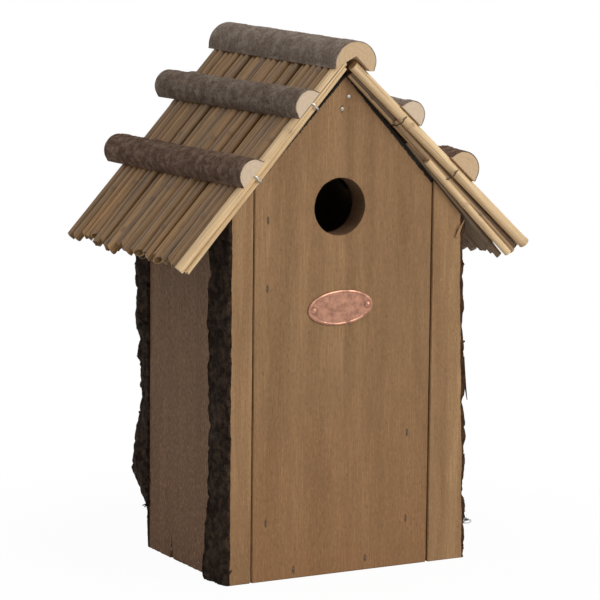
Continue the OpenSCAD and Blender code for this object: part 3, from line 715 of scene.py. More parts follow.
def nail_tree():
    """A nail at each point, with its domed head at the point and its shank behind it."""
    net, ins, finish = open_geometry("nails", {
        "Head": 0.0022, "Shank": 0.0016, "Length": 0.02, "Tilt": 0.12, "Seed": 1,
        "Direction": (0.0, -1.0, 0.0)})
    head = net.get("GeometryNodeMeshUVSphere", {"Segments": 16, "Rings": 8,
                                                "Radius": net.product(ins["Head"], 0.5)})
    head = net.get("GeometryNodeTransform", {"Geometry": head, "Scale": (1.0, 1.0, 0.32)})
    shank = net.get("GeometryNodeMeshCylinder", {"Vertices": 12, "Radius": net.product(ins["Shank"], 0.5),
                                                 "Depth": ins["Length"]})
    down = net.vector(0.0, 0.0, net.product(ins["Length"], -0.5))
    shank = net.get("GeometryNodeTransform", {"Geometry": shank, "Translation": down})
    nail = net.add("GeometryNodeJoinGeometry")
    for half in (head, shank):
        net.put(nail.inputs[0], half)
    finish(net.copies(ins["Geometry"], nail.outputs[0], Rotation=net.heading(ins["Tilt"])))


def wire_tree():
    """A round wire along the edges of a path."""
    net, ins, finish = open_geometry("wire", {"Thickness": 0.0008, "Step": 0.0008})
    curve = net.get("GeometryNodeMeshToCurve", {0: ins["Geometry"]})
    path = net.get("GeometryNodeResampleCurve", {"Curve": curve, "Length": ins["Step"]}, mode="LENGTH")
    ring = net.get("GeometryNodeCurvePrimitiveCircle", {"Resolution": 8,
                                                        "Radius": net.product(ins["Thickness"], 0.5)})
    finish(net.get("GeometryNodeCurveToMesh", {"Curve": path, "Profile Curve": ring, "Fill Caps": True}))


# The logs

CAP_RINGS, RIM = 7, 0.75


def uneven(a, b, seed):
    """The same smooth uneven value that shapes the bark of the solids."""
    waves = (a * 1.7 + seed * 71, a * 3.1 + b * 1.3 + seed * 37, b * 2.3 + a * 0.6 + seed * 113)
    return sum(math.sin(math.radians(wave)) for wave in waves) / 3


def log_loft(name, outline, barked, stations, place, middle, materials, seed):
    """A split log from its outline at each station, with bark outside and sawn faces at its ends.

    outline gives each station's points, barked says which of their gaps are bark, place turns them
    into millimetres from HOME, and middle is where the growth rings start.
    """
    rings = [outline(y) for y in stations]
    count = len(barked)
    edged = [here or before for here, before in zip(barked, barked[-1:] + barked)]
    bark_slots = [0 if here else 1 for here in barked]
    points, faces, slots, outer, on_face = [], [], [], [], []

    def add(x, y, z, out, ring_y):
        points.append(place(x, y, z))
        outer.append(out)
        on_face.append((x - middle[0], ring_y, z - middle[1]))

    for k, (y, ring) in enumerate(zip(stations, rings)):
        inside = 3 < k < len(rings) - 4
        for near_bark, (x, z) in zip(edged, ring):
            add(x, y, z, float(near_bark and inside), y)
    for k in range(len(rings) - 1):
        faces += ring_faces(k * count, (k + 1) * count, count)
        slots += bark_slots
    for end, before, way in ((0, 0, -1), (-1, len(points) - count, 1)):
        y, ring = stations[end], rings[end]
        cx = sum(x for x, z in ring) / count
        cz = (max(z for x, z in ring) + middle[1]) / 2
        for k in range(1, CAP_RINGS):
            share = (k - 1) / (CAP_RINGS - 1)
            after = len(points)
            for near_bark, (x, z) in zip(edged, ring):
                reach = math.hypot(x - cx, z - cz)
                width = RIM * (0.75 + 0.5 * abs(rough(x, z, y, 5, seed + 3))) if near_bark else 0.3
                keep = (1 - width / max(reach, 2.0)) * (1 - share)
                px, pz = cx + (x - cx) * keep, cz + (z - cz) * keep
                add(px, y + way * 0.22 * rough(px, pz, y, 2.2, seed + 5), pz, 0.0, 0.0)
            faces += ring_faces(before, after, count)
            slots += bark_slots if k == 1 else [1] * count
            before = after
        faces += fan(before, count, len(points))
        slots += [1] * count
        add(cx, y, cz, 0.0, 0.0)
    return new_piece(name, points, faces, materials, slots, 42.0, {"outer": outer, "face": on_face})


def bark_depth(x, y, z, seed, look, rugged=1.0):
    """How far bark stands out from its mean surface, in millimetres."""
    ridges = rough(x * 1.6, y * 0.55, z * 1.6, 5.0, seed, 4)
    lumps = rough(x, y, z, 16.0, seed + 2, 2)
    fine = rough(x, y, z, 1.7, seed + 4, 2)
    deep = min(0.0, ridges + 0.15) * 1.5
    return look.bark_relief / MM * rugged * (0.55 * ridges + 0.5 * lumps + 0.3 * fine + deep)


def batten(name, side, lift, at, skew, front, back, width, height, knots, twist, look, materials, seed,
           rugged):
    """Half of a thin log, laid flat side down across the reeds."""
    steps, flat_steps = 34, 10
    stations = spaced(-front, BACK_Y + back, 1.7)

    def outline(y):
        end = min(y - stations[0], stations[-1] - y)
        calm = min(1.0, 0.1 + end / 7)
        ring = []
        for i in range(steps + 1):
            a = math.pi - math.pi * i / steps
            x = width / 2 * math.cos(a)
            z = height * abs(math.sin(a)) ** 0.9
            out = -0.55 + calm * bark_depth(x, y + twist * a * 14, z, seed, look, rugged)
            for ky, ka, reach, high in knots:
                near = math.hypot(y - ky, (a - ka) * width / 2) / reach
                out += calm * high * (math.exp(-near ** 2 * 2.2) - 0.5 * math.exp(-(near * 3.2) ** 2))
            out = min(out, 0.55) * min(1.0, math.sin(a) * 4 + 0.08)
            ring.append((x + out * math.cos(a), max(z + out * math.sin(a), 0.0)))
        return ring + [(width / 2 * (1 - 2 * i / flat_steps), 0.0) for i in range(1, flat_steps)]

    slope = slope_matrix(side, lift, at, 0.0, BATTEN_N if side < 0 else RIGHT_BATTEN_N)

    def place(x, y, z):
        return from_slope(slope, side, x + skew * (y + front) / (BACK_Y + back + front), y, z)

    barked = [True] * steps + [False] * flat_steps
    return log_loft(name, outline, barked, stations, place, (0.0, 0.0), materials, seed)


def slope_matrix(side, lift, s, y, n):
    """The frame of a roof slope: X down the slope, Z out of it, with its start at s, y and n."""
    angle = PITCH - lift
    down = Vector((side * math.cos(angle), 0.0, -math.sin(angle)))
    across = Vector((0.0, float(side), 0.0))
    out = Vector((side * math.sin(angle), 0.0, math.cos(angle)))
    start = HOME + Vector((0.0, y, APEX)) * MM + down * s * MM + out * n * MM
    matrix = Matrix((down, across, out)).transposed().to_4x4()
    matrix.translation = start
    return matrix


def from_slope(matrix, side, s, y, n):
    """The place from HOME of a spot that is s down a slope, y behind the front and n out of the slope."""
    return (matrix @ Vector((s * MM, side * y * MM, n * MM)) - HOME) / MM


# Boards

# How far the sawn face of the right strip reaches past its plain edge, by height
RIGHT_EDGE = ((0, 2.8), (60, 1.6), (130, -0.6), (205, -2.4))
# The share of the bark's thickness in which its inner tone fades out
INNER_SHARE = 0.45


def bark_marks(depth):
    """The attributes of a board's bark, by how far out its points are: 0 under the bark and 1 at its face."""
    return {"inner": np.clip(1 - depth / INNER_SHARE, 0, 1), "outer": (depth > 0.99).astype(float)}


def strip_of_wood(name, side, x_in, x_out, seed, look, materials):
    """A slab strip: sawn wood with its bark left on the outer edge.

    Its places across run from 0 to 1 through the wood and on to 2 through the bark.
    """
    width = abs(x_out - x_in)
    across = spaced(0.0, 1.0, 1.9 / width, 0.4 / width)[:-1] + [1.0 + k / 6 for k in range(7)]
    deep = spaced(0.0, STRIP_T, 1.6, 0.4)
    high = spaced(0.0, 1.0, 0.0085, 0.002)
    curve_seed = 3 if side < 0 else 8

    def thick(t, z):
        """The bark's thickness, where t runs from the front face to the rear one."""
        swell = 3.2 * (0.55 + 0.45 * math.sin(min(t, 0.5) * math.pi))
        swell += 0.9 if side > 0 else t * (0.8 + 3.0 * max(0.0, 1 - z / 50))
        return swell + 1.1 * uneven(z * 5, t * 160, curve_seed)

    def edge_x(z):
        return x_out + (lookup(z, RIGHT_EDGE) if side > 0 else 0.0)

    def shape(u, y, h):
        t = y / STRIP_T
        z = h * slope_z(x_out)
        wave = 0.55 * rough(0, y * 0.3, z, 15, seed) + 0.3 * rough(0, y, z, 4, seed + 1)
        if u <= 1.0:
            x = x_in + (edge_x(z) + side * wave - x_in) * u
            if u == 0.0:
                x += side * 0.12 * abs(rough(x, y, z, 6, seed))
        else:
            out = thick(t, z) * (u - 1.0) - 0.35
            relief = bark_depth(x_out, y * 1.4, z * 0.55, seed, look, 1.25)
            x = edge_x(z) + side * (wave * (2.0 - u) + out + min(relief, 0.7) * (u - 1.0))
        if y == 0.0 and u > 1.0:
            y += 0.55 * abs(rough(x, 0, z, 2.5, seed + 6)) * min(1.0, (u - 1.0) * 2.5)
        elif y == 0.0:
            y += 0.1 * abs(rough(x, 0, z, 3, seed + 6))
        top = slope_z(x)
        if h == 1.0:
            top -= 0.8 * abs(rough(x, y, 0, 2.5, seed + 8))
        return x, y, h * top

    piece = board(name, across, deep, high, shape, materials, 0.3, seed, lambda u: bark_marks(u - 1.0))
    for face in piece.data.polygons:
        x, y, z = (face.center - HOME) / MM
        past_edge = abs(x) > abs(edge_x(z)) + 0.45 * rough(0, y * 0.3, z, 15, seed)
        face.material_index = 1 if past_edge else 0
    return piece


def right_wane(z, t):
    """How far the back board's bark stands out at the right, as t runs from its front face to its rear."""
    if z < 24:
        return 0.3 + 0.3 * math.sin(math.pi * t)
    swell = (5.2 + 2.6 * uneven(z * 2.3, 40, 9)) * math.sin(math.radians(30 + 120 * t))
    return swell + 0.5 * uneven(z * 9, t * 200, 10)


# How far the back board's bark stands out at the left of its rear face, by the share of the apex's height
LEFT_WANE_REAR = ((0, -8), (0.08, -7), (0.1, -1.6), (0.136, 2), (0.162, 4.6), (0.188, 4), (0.205, 3.2),
                  (0.222, 1.8), (0.24, 1.2), (0.255, -0.8), (0.305, -2.9), (0.335, -1.9), (0.361, -1.3),
                  (0.39, 1), (0.412, -0.5), (0.456, 1.9), (0.48, 1.2), (0.533, 2.2), (0.6, 2.6), (0.76, 2))


def left_wane(z, t):
    """The same at the left, where the edge waves more towards the rear face."""
    front = (1 - t) * 1.2 * min(1.0, 0.25 + z / 48)
    return front + t * lookup(z / APEX, LEFT_WANE_REAR) + 0.8 * math.sin(math.pi * t)


# Pieces

FLAKE_DENSITY = 26000.0


def path_mesh(name, lines):
    """A mesh that holds only edges along lines of points in millimetres from HOME."""
    points, edges = [], []
    for line in lines:
        first = len(points)
        points += line
        edges += [(i, i + 1) for i in range(first, len(points) - 1)]
    return new_mesh(name, points, edges)


def sprout(name, mesh, tree, material, slot, *replaced, crease=50.0, matrix=None, **values):
    """A piece that a geometry tree makes from a mesh, kept as its plain mesh and above the ground."""
    piece = place_object(name, mesh)
    modifier = piece.modifiers.new(tree, "NODES")
    modifier.node_group = bpy.data.node_groups[tree]
    values["material"] = get(material)
    for item in modifier.node_group.interface.items_tree:
        key = item.name.replace(" ", "_").lower()
        if item.item_type == "SOCKET" and item.in_out == "INPUT" and key in values:
            modifier[item.identifier] = values[key]
    settle(piece)
    soften(piece.data, crease)
    if matrix:
        piece.data.transform(matrix)
    for vertex in piece.data.vertices:
        vertex.co.z = max(vertex.co.z, 0.0)
    carry(piece, slot, *replaced)


def flakes_on(piece, name, size, stretch, thickness, seed, material, slot):
    """Scatters loose flakes over the bark of a piece."""
    sprout(name, piece.data.copy(), "bark_flakes", material, slot, density=FLAKE_DENSITY, size=size,
           stretch=stretch, thickness=thickness, seed=seed)


def fibres(name, lines, count, length, direction, material, slot, seed, thickness, spread):
    """Torn fibres along lines of points in millimetres from HOME."""
    sprout(name, path_mesh(name, lines), "fringe", material, slot, count=count, length=length,
           thickness=thickness, direction=direction, spread=spread, seed=seed)


def thatch_layer(name, side, lift, reeds, start, end, y0, y1, n, diameter, look, seed, material, *replaced,
                 **more):
    """A layer of reeds on one slope, from y0 at the front to y1 at the back."""
    values = {"thinner": 0.36, "ragged": look.ragged, "open": 0.011, "wall": 0.0008, "joint_spacing": 0.105,
              "bend": 0.0011, "dents": 0.00035, "scatter": 0.0007, **more}
    sprout(name, bpy.data.meshes.new(name), "reed_row", material, "reed", *replaced,
           matrix=slope_matrix(side, lift, start, y0 if side > 0 else y1, n), reeds=reeds,
           length=(end - start) * MM, width=(y1 - y0) * MM, diameter=diameter * MM, seed=seed, **values)


def cutter(points, faces, wood):
    """A shape that cuts a board. Its faces are in its second slot, so that the cut's are too."""
    return new_piece("cutter", points, faces, [wood, "hole_wood"], [1] * len(faces))


def cylinder(start, radius, length, sides):
    """A round cutter in millimetres from HOME that bores towards the back."""
    axis = Vector((0.0, 1.0, 0.0))
    side = axis.orthogonal().normalized()
    other = axis.cross(side)
    points = [Vector(start) + axis * h + (side * math.cos(a) + other * math.sin(a)) * radius
              for h in (0.0, length) for a in circle(sides)]
    ends = [list(range(sides)), list(range(sides, 2 * sides))]
    return cutter(points, ring_faces(0, sides, sides) + ends, "wall_wood")


def sliver(name, line, material):
    """A thin tapering splinter along a line of points in millimetres, widest at its first point."""
    width, half_thickness = 1.3, 0.45
    points, faces = [], []
    for k, (x, y, z) in enumerate(line):
        share = 1 - 0.85 * k / (len(line) - 1)
        points += [(x + across * width * share, y + deep * half_thickness * share, z)
                   for across, deep in ((-1, -1), (1, -1), (1, 1), (-1, 1))]
    last = len(points) - 4
    for first in range(0, last, 4):
        faces += ring_faces(first, first + 4, 4)
    faces += [[3, 2, 1, 0], [last, last + 1, last + 2, last + 3]]
    carry(new_piece(name, points, faces, [material]), "strip_wood")


class NestBoxLook(bpy.types.PropertyGroup):
    """Sizes and colours of the nest box that its maker may want to change"""

    ragged: FloatProperty(
        name="Ragged eaves", description="How unevenly the reeds end at the eaves",
        default=0.005, min=0.0, max=0.02, subtype="DISTANCE", unit="LENGTH")
    upper_reeds: IntProperty(
        name="Upper reeds", description="Reeds in the upper layer of a slope, the front one included",
        default=22, min=5, max=40)
    lower_reeds: IntProperty(
        name="Lower reeds", description="Reeds in the lower layer of a slope", default=29, min=5, max=50)
    bark_relief: FloatProperty(
        name="Bark relief", description="How far the bark's ridges stand out",
        default=0.0008, min=0.0, max=0.003, subtype="DISTANCE", unit="LENGTH")
    fibre_length: FloatProperty(
        name="Fibre length", description="Length of the torn fibres along the sawn edges",
        default=0.0016, min=0.0, max=0.01, subtype="DISTANCE", unit="LENGTH")
    nail_head: FloatProperty(
        name="Nail head", description="Diameter of the nails' heads",
        default=0.0024, min=0.001, max=0.005, subtype="DISTANCE", unit="LENGTH")
    key_power: FloatProperty(
        name="Main light", description="Power of the soft light at the front right", default=18.6, min=0.0)
    fill: FloatProperty(
        name="Surrounding light", description="Strength of the even light from all around", default=0.29,
        min=0.0)
    front_tone: FloatVectorProperty(
        name="Front wood", description="Colour of the front board", subtype="COLOR",
        default=linear("9a7651"), min=0.0, max=1.0)
    strip_tone: FloatVectorProperty(
        name="Strip wood", description="Colour of the sawn side strips", subtype="COLOR",
        default=linear("a27e58"), min=0.0, max=1.0)
    # Partly painted shade: the wall colour is darker than the front's partly for the side turned from the
    # light
    wall_tone: FloatVectorProperty(
        name="Wall wood", description="Colour of the weathered side walls", subtype="COLOR",
        default=linear("8d6d54"), min=0.0, max=1.0)
    golden_tone: FloatVectorProperty(
        name="Golden reed", description="Colour of the fresh reeds at the front", subtype="COLOR",
        default=linear("e2c294"), min=0.0, max=1.0)
    copper_tone: FloatVectorProperty(
        name="Copper", description="Colour of the name plate", subtype="COLOR",
        default=linear("ba8870"), min=0.0, max=1.0)


class NESTBOX_OT_finishes(bpy.types.Operator):
    """Build the trees and the materials that the pieces use"""

    bl_idname = "nestbox.finishes"
    bl_label = "Finishes"

    def execute(self, context):
        look = context.scene.nest_box
        for make_tree in (reed_tree, fringe_tree, flake_tree, nail_tree, wire_tree, grain_group, bark_group,
                          dust_group):
            make_tree()
        self.woods(look)
        self.barks()
        self.reeds(tuple(look.golden_tone))
        self.metals(look)
        return {"FINISHED"}

    def woods(self, look):
        sawn_wood("front_wood", tuple(look.front_tone), "6e4c2f", "b28e64", low_tone="986d46",
                  marks=front_painted_shade)
        sawn_wood("strip_wood", tuple(look.strip_tone), "74502e", "c29d70", band=9.0,
                  low_tone="8a6441", low_right=0.0)
        # Partly painted shade: the wall wood is darker than the front's, partly its own weathered tone and
        # partly the shade of the side turned from the light
        sawn_wood("wall_wood", tuple(look.wall_tone), "4a3526", "a08062", relief=0.4, band=11.0,
                  streak=0.4, low_tone="765036", stipple=0.8)
        sawn_wood("back_wood", "7a624e", "463428", "967c62", relief=0.35)
        sawn_wood("inner_wood", "967a5c", "684e36", "b49674", relief=0.3)
        sawn_wood("board_wood", "8e7256", "5c4430", "ac8e6e", along="y")
        sawn_wood("hole_wood", "6c4e35", "382416", "92704e", along="y", relief=0.35)

    def barks(self):
        bark("edge_bark", "2a1e16", "5c4a3c", "070503", 3.4, 1.0, "603421")
        bark("right_bark", "402b1f", "5c4230", "180f0a", 6.0, 0.6, "623c26")
        bark("grey_bark", "857467", "a49688", "44382f", 6.0, 0.4)
        bark("knotty_bark", "766558", "988879", "342921", 6.0, 0.5)
        bark("brown_bark", "725a4b", "a48772", "1e150f", 4.2, 1.0)
        cut_wood("cut_wood", "c8aa85", "9c7650")
        cut_wood("pale_cut_wood", "d2bba0", "a88a6c")

    def reeds(self, golden):
        reed_material("grey_reed", ("8a6b48", "9a7346", "b28955", "7e5f3e",
                                    "be9154", "94734c", "a47948"), "2a1d12", 0.5, 0.7)
        # Painted shade: the left lower layer is much darker than the right one, copying the shaded underside
        # of the thatch
        reed_material("under_reed_left", ("463426", "5c4632", "6c543a", "503e2c"),
                      "221811")
        reed_material("under_reed_right", ("846a4e", "987c58", "745c44"), "3c2c1e")
        reed_material("shaded_reed", ("705436", "705436"), "3a281a")
        reed_material("right_reed", ("967856", "b29064", "c6a476", "a28260"),
                      "563c26")
        reed_material("golden_reed", (golden, golden), "aa8256", 0.4, 0.3)

    def metals(self, look):
        metal("wire", "cdcdca", "8c867e", 0.35)
        metal("dark_tie", "3a2e26", "1e1814", 0.6, 0.3)
        metal("copper", tuple(look.copper_tone), "644032", 0.36, 0.85, 0.85, 5.0)
        metal("nail_steel", "aaa49c", "604e3e", 0.4, 0.9, 0.7, 1.2)
        metal("dull_nail", "68584a", "34261e", 0.6, 0.5, 0.8, 1.2)
        metal("latch_steel", "cececc", "969490", 0.28, 1.0, 0.4, 2.5)


class NESTBOX_OT_front(bpy.types.Operator):
    """Make the front board with its entrance hole"""

    bl_idname = "nestbox.front"
    bl_label = "Front board"

    def execute(self, context):
        across = spaced(-PANEL_HALF, PANEL_HALF, 2.4, 0.45, (0.0,))
        deep = spaced(0.0, PANEL_T, 2.6, 0.45)
        high = spaced(0.0, APEX, 2.6)

        def shape(x, y, h):
            z = h / APEX * slope_z(x)
            if y == 0.0:
                y += 0.14 * (1 + rough(x, 0, z * 0.2, 7, 4))
            if abs(x) == PANEL_HALF:
                x -= math.copysign(0.2 * abs(rough(0, y, z, 9, 6)), x)
            if h == APEX:
                z -= 0.45 * abs(rough(x, y * 0.6, 0, 2.8, 11))
                z -= 0.5 * abs(rough(x, y, 3, 1.3, 5)) if x > 0 else 0.0
            return x, y, z

        panel = board("front_board", across, deep, high, shape, ["front_wood", "hole_wood"])
        cut(panel, self.hole())
        carry(panel, "front_wood", "front_panel")
        self.torn_edges(context.scene.nest_box.fibre_length)
        return {"FINISHED"}

    def hole(self):
        """The cutter of the entrance hole, uneven inside and chipped at both rims."""
        ring, steps, past, rim_depth = 96, 14, 1.0, 0.9
        points, faces = [], []
        for k in range(steps + 1):
            y = -past + (PANEL_T + 2 * past) * k / steps
            rim = 0.5 * max(0.0, 1 - (y + 0.1) / rim_depth) + 0.35 * max(0.0, 1 - (PANEL_T - y) / rim_depth)
            for a in circle(ring):
                r = HOLE_R + 0.1 * rough(math.cos(a) * 16, y * 2.5, math.sin(a) * 16, 2.6, 7)
                r += rim * (0.5 + 0.8 * abs(rough(math.cos(a) * 16, y, math.sin(a) * 16, 1.6, 8)))
                points.append((HOLE.x + r * math.cos(a), y, HOLE.z + r * math.sin(a)))
        for k in range(steps):
            faces += ring_faces(k * ring, (k + 1) * ring, ring)
        faces += [list(range(ring)), [steps * ring + i for i in range(ring)]]
        return cutter(points, faces, "front_wood")

    def torn_edges(self, length):
        rim_r = HOLE_R + 0.2
        rim = [(HOLE.x + rim_r * math.cos(a), 0.2, HOLE.z + rim_r * math.sin(a)) for a in circle(60)]
        rim.append(rim[0])
        slope = [[(x, y, slope_z(x) - drop) for x in np.linspace(3, PANEL_HALF, 60)]
                 for y, drop in ((0.6, 0.4), (PANEL_T * 0.5, 0.5))]
        foot = [[(x, y, 0.9) for x in np.linspace(-PANEL_HALF + 1, PANEL_HALF - 1, 60)] for y in (0.4, 3.0)]
        for name, lines, count, size, direction, wood, seed, thickness, spread in (
                ("hole_fibres", [rim], 150, 0.0011, (0.0, -0.25, -0.6), "front_wood", 21, 0.0002, 0.9),
                ("gable_fibres_right", slope, 260, length, (0.5, -0.3, 0.6), "hole_wood", 22, 0.0003, 0.8),
                ("foot_fibres_front", foot, 200, 0.0009, (0.0, -0.15, -1.0), "front_wood", 23, 0.00022, 0.5)):
            fibres(name, lines, count, size, direction, wood, "front_wood", seed, thickness, spread)


class NESTBOX_OT_strips(bpy.types.Operator):
    """Make the bark-edged strips at both sides of the front board"""

    bl_idname = "nestbox.strips"
    bl_label = "Bark-edged strips"

    def execute(self, context):
        look = context.scene.nest_box
        for name, side, x_in, x_out, skin_name in (("left", -1, LEFT_IN, LEFT_OUT, "edge_bark"),
                                                   ("right", 1, RIGHT_IN, RIGHT_OUT, "right_bark")):
            strip = strip_of_wood("slab_strip_" + name, side, x_in, x_out, 30 + side, look,
                                  ["strip_wood", skin_name])
            carry(strip, "strip_wood", "front_strip_" + name)
            flakes_on(strip, "strip_flakes_" + name, 0.0011, 2.2, 0.35, 40 + side, skin_name, "strip_wood")
            if side > 0:
                self.splinters()
            top = [[(x, y, slope_z(x) - 0.5) for x in np.linspace(x_in + side, x_out - side, 12)]
                   for y in (0.6, 6.0, 12.0)]
            fibres("strip_fibres_" + name, top, 120, look.fibre_length, (side * 0.3, -0.3, 0.8), "strip_wood",
                   "strip_wood", 50 + side, 0.00035, 0.7)
        return {"FINISHED"}

    def splinters(self):
        """A loose strip of bark half-way down the right edge and a torn sliver of wood at its top."""
        for name, material, line in (
                ("bark_splinter", "right_bark", ((1.6, 1.2, 118.0), (2.6, 1.0, 110.0), (3.8, 0.8, 101.0),
                                                 (5.2, 0.8, 92.5))),
                ("wood_sliver", "strip_wood", ((-4.4, -0.2, 187.5), (-3.8, -1.2, 191.0), (-2.4, -2.0, 194.5),
                                               (-0.6, -2.0, 197.5)))):
            sliver(name, [(RIGHT_OUT + x, y, z) for x, y, z in line], material)


class NESTBOX_OT_walls(bpy.types.Operator):
    """Make the left wall, the door and the bark-edged back board"""

    bl_idname = "nestbox.walls"
    bl_label = "Walls, door and back"

    def execute(self, context):
        look = context.scene.nest_box
        self.left_wall()
        self.door()
        self.back(look)
        line = [(LEFT_OUT + 0.4, y, 0.9) for y in np.linspace(STRIP_T + 1, BODY_D - 1, 50)]
        fibres("foot_fibres_wall", [line], 130, 0.0012, (-0.3, 0.0, -1.0), "wall_wood", "wall_wood", 24,
               0.0003, 0.6)
        return {"FINISHED"}

    def wall(self, name, x0, y0, y1, z0, top, seed):
        """A side wall as thick as WALL_T from x0, with its outer face weathered."""
        x1 = x0 + WALL_T
        across = spaced(x0, x1, 2.8, 0.4)
        deep = spaced(y0, y1, 2.2, 0.45)
        high = spaced(0.0, 1.0, 0.0115, 0.0022)
        outer = x0 if x0 < 0 else x1

        def shape(x, y, h):
            z = z0 + h * (top(x) - z0)
            if x == outer:
                step = 0.3 * rough(0, y, z * 0.12, 6, seed) + 0.14 * rough(0, y * 2, z, 3, seed + 1)
                x -= math.copysign(0.25 + step, x)
            if h == 0.0:
                z += 0.7 * abs(rough(x, y, 0, 2.6, seed + 2))
            return x, y, z

        return board(name, across, deep, high, shape, ["wall_wood", "hole_wood"], 0.35, seed)

    def left_wall(self):
        wall = self.wall("left_wall_board", LEFT_OUT, STRIP_T, BODY_D, 0.0, board_under_z, 61)
        # The split at its foot
        foot = [(LEFT_OUT - 1, 70.3, -1), (LEFT_OUT - 1, 75.4, -1), (LEFT_OUT + 7, 73.0, -1)]
        tip = [(LEFT_OUT - 1, 72.9, 13), (LEFT_OUT - 1, 73.4, 13), (LEFT_OUT + 2, 73.15, 13)]
        faces = [[0, 1, 2], [3, 5, 4], [0, 3, 4, 1], [1, 4, 5, 2], [2, 5, 3, 0]]
        cut(wall, cutter(foot + tip, faces, "wall_wood"))
        carry(wall, "wall_wood", "left_wall")

    def door(self):
        low, high = node_box("side_door")
        head = PIVOT.z + 7.0

        def top(x):
            return head + (RIGHT_OUT - x) * RISE

        door = self.wall("side_door_board", RIGHT_OUT - WALL_T, low.y, high.y, low.z, top, 62)
        cut(door, *(cylinder((PIVOT.x, y, PIVOT.z), 1.56, 15.0, 24) for y in (low.y - 0.5, high.y - 14.5)))
        carry(door, "wall_wood", "side_door", body="side_door")

    def back(self, look):
        """The back board.

        Its places across run from 0 to 1 through the wood, and 1 further through the bark at each edge.
        """
        skin_t, skin_steps = 3.0, 5
        inner = spaced(0.0, 1.0, 0.02, 0.004)
        across = [-1 + k / skin_steps for k in range(skin_steps)] + inner
        across += [1 + k / skin_steps for k in range(1, skin_steps + 1)]
        deep = spaced(BODY_D, BACK_Y, 2.0, 0.4)
        side_top = slope_z(RIGHT_OUT)
        high = spaced(0.0, 1.0, 0.009, 0.002)

        def shape(u, y, h):
            t = (y - BODY_D) / BACK_T
            z_edge = h * side_top
            left = LEFT_OUT - left_wane(z_edge, t)
            right = RIGHT_OUT + right_wane(z_edge, t)
            relief_l = bark_depth(left, y * 1.3, z_edge * 0.6, 71, look, 1.3)
            relief_r = bark_depth(right, y * 1.3, z_edge * 0.6, 73, look, 1.3)
            if u < 0.0:
                x = left + skin_t * (1 + u) - min(relief_l, 0.9) * -u
            elif u > 1.0:
                x = right - skin_t * (2 - u) + min(relief_r, 0.9) * (u - 1)
            else:
                x = left + skin_t + (right - left - 2 * skin_t) * u
            z = h * slope_z(x)
            if h == 0.0:
                z += 0.5 * abs(rough(x, y, 0, 3, 75))
            if y == BACK_Y and -1.0 < u < 2.0:
                y -= 0.3 + 0.3 * rough(x, 0, z * 0.15, 6, 76)
            return x, y, z

        piece = board("back_board_wood", across, deep, high, shape, ["back_wood", "edge_bark"], 0.3, 77,
                      lambda u: bark_marks(np.maximum(-u, u - 1)))
        layer = piece.data.attributes["inner"].data
        # A face is wood where all four of its corners lie under the bark
        for face in piece.data.polygons:
            face.material_index = 1 if sum(layer[v].value for v in face.vertices) < 3.9 else 0
        cut(piece, cylinder((0.0, BODY_D - 1, APEX - 46.0), 4.0, BACK_T + 2, 32))
        carry(piece, "back_wood", "back_board")
        flakes_on(piece, "back_flakes", 0.0015, 2.2, 0.45, 78, "edge_bark", "back_wood")


class NESTBOX_OT_inner_boards(bpy.types.Operator):
    """Dress the floor, posts, roof boards and rail, which the walls hide"""

    bl_idname = "nestbox.inner_boards"
    bl_label = "Inner boards"

    def execute(self, context):
        dress(("floor_board", "roof_board_left", "roof_board_right", "ridge_rail"), "board_wood")
        dress(("corner_post_left", "corner_post_right"), "inner_wood")
        return {"FINISHED"}


class NESTBOX_OT_thatch(bpy.types.Operator):
    """Lay two layers of reeds on each slope, with golden ones at the front"""

    bl_idname = "nestbox.thatch"
    bl_label = "Thatch"

    def execute(self, context):
        look = context.scene.nest_box
        self.layers(look)
        self.front_stems(look)
        return {"FINISHED"}

    def layers(self, look):
        upper, lower = look.upper_reeds - 1, look.lower_reeds - 1
        second = FRONT_REED_Y + (BACK_REED_Y - FRONT_REED_Y) / upper
        for name, side, lift, n, end, under_start, seed, tone in (
                ("left", -1, 0.0, UPPER_N, 147.5, 2.5, 100, "grey_reed"),
                ("right", 1, RIGHT_LIFT, RIGHT_UPPER_N, 154.0, 57.0, 200, "right_reed")):
            thatch_layer("reeds_upper_" + name, side, lift, upper, 1.0, end, second, BACK_REED_Y, n, 6.7,
                         look, seed, tone, f"thatch_{name}_upper")
            thatch_layer("reeds_lower_" + name, side, 0.0, lower, under_start, end - 4, 1.0, 130.8, UNDER_N,
                         4.4, look, seed + 7, "under_reed_" + name, f"thatch_{name}_lower", thinner=0.2,
                         bend=0.0004, scatter=0.0)

    def front_stems(self, look):
        for name, side, lift, y, n, diameter, start, end, tone, seed in (
                ("left_upper", -1, 0.0, FRONT_REED_Y, 9.0, 5.8, -1.0, 148.0, "golden_reed", 113),
                ("left_lower", -1, -0.6, -6.4, 5.0, 3.0, 1.0, 146.5, "golden_reed", 117),
                ("right_upper", 1, 4.8, FRONT_REED_Y, RIGHT_UPPER_N, 6.2, -2.5, 154.0, "golden_reed", 213),
                ("right_hidden", 1, 4.0, -3.0, 0.9, 4.0, 0.5, 151.0, "shaded_reed", 214),
                ("right_middle", 1, 3.4, -2.2, 0.4, 3.6, 1.0, 149.0, "right_reed", 215),
                ("right_fourth", 1, 3.0, -3.6, 0.6, 3.8, 40.0, 152.0, "right_reed", 216),
                ("right_lower", 1, 2.3, -3.8, -0.1, 4.4, 72.0, 151.0, "golden_reed", 218)):
            thatch_layer("front_stem_" + name, side, math.radians(lift), 1, start, end, y, y, n, diameter,
                         look, seed, tone, thinner=0.0, bend=0.0004, dents=0.0002, ragged=0.001)


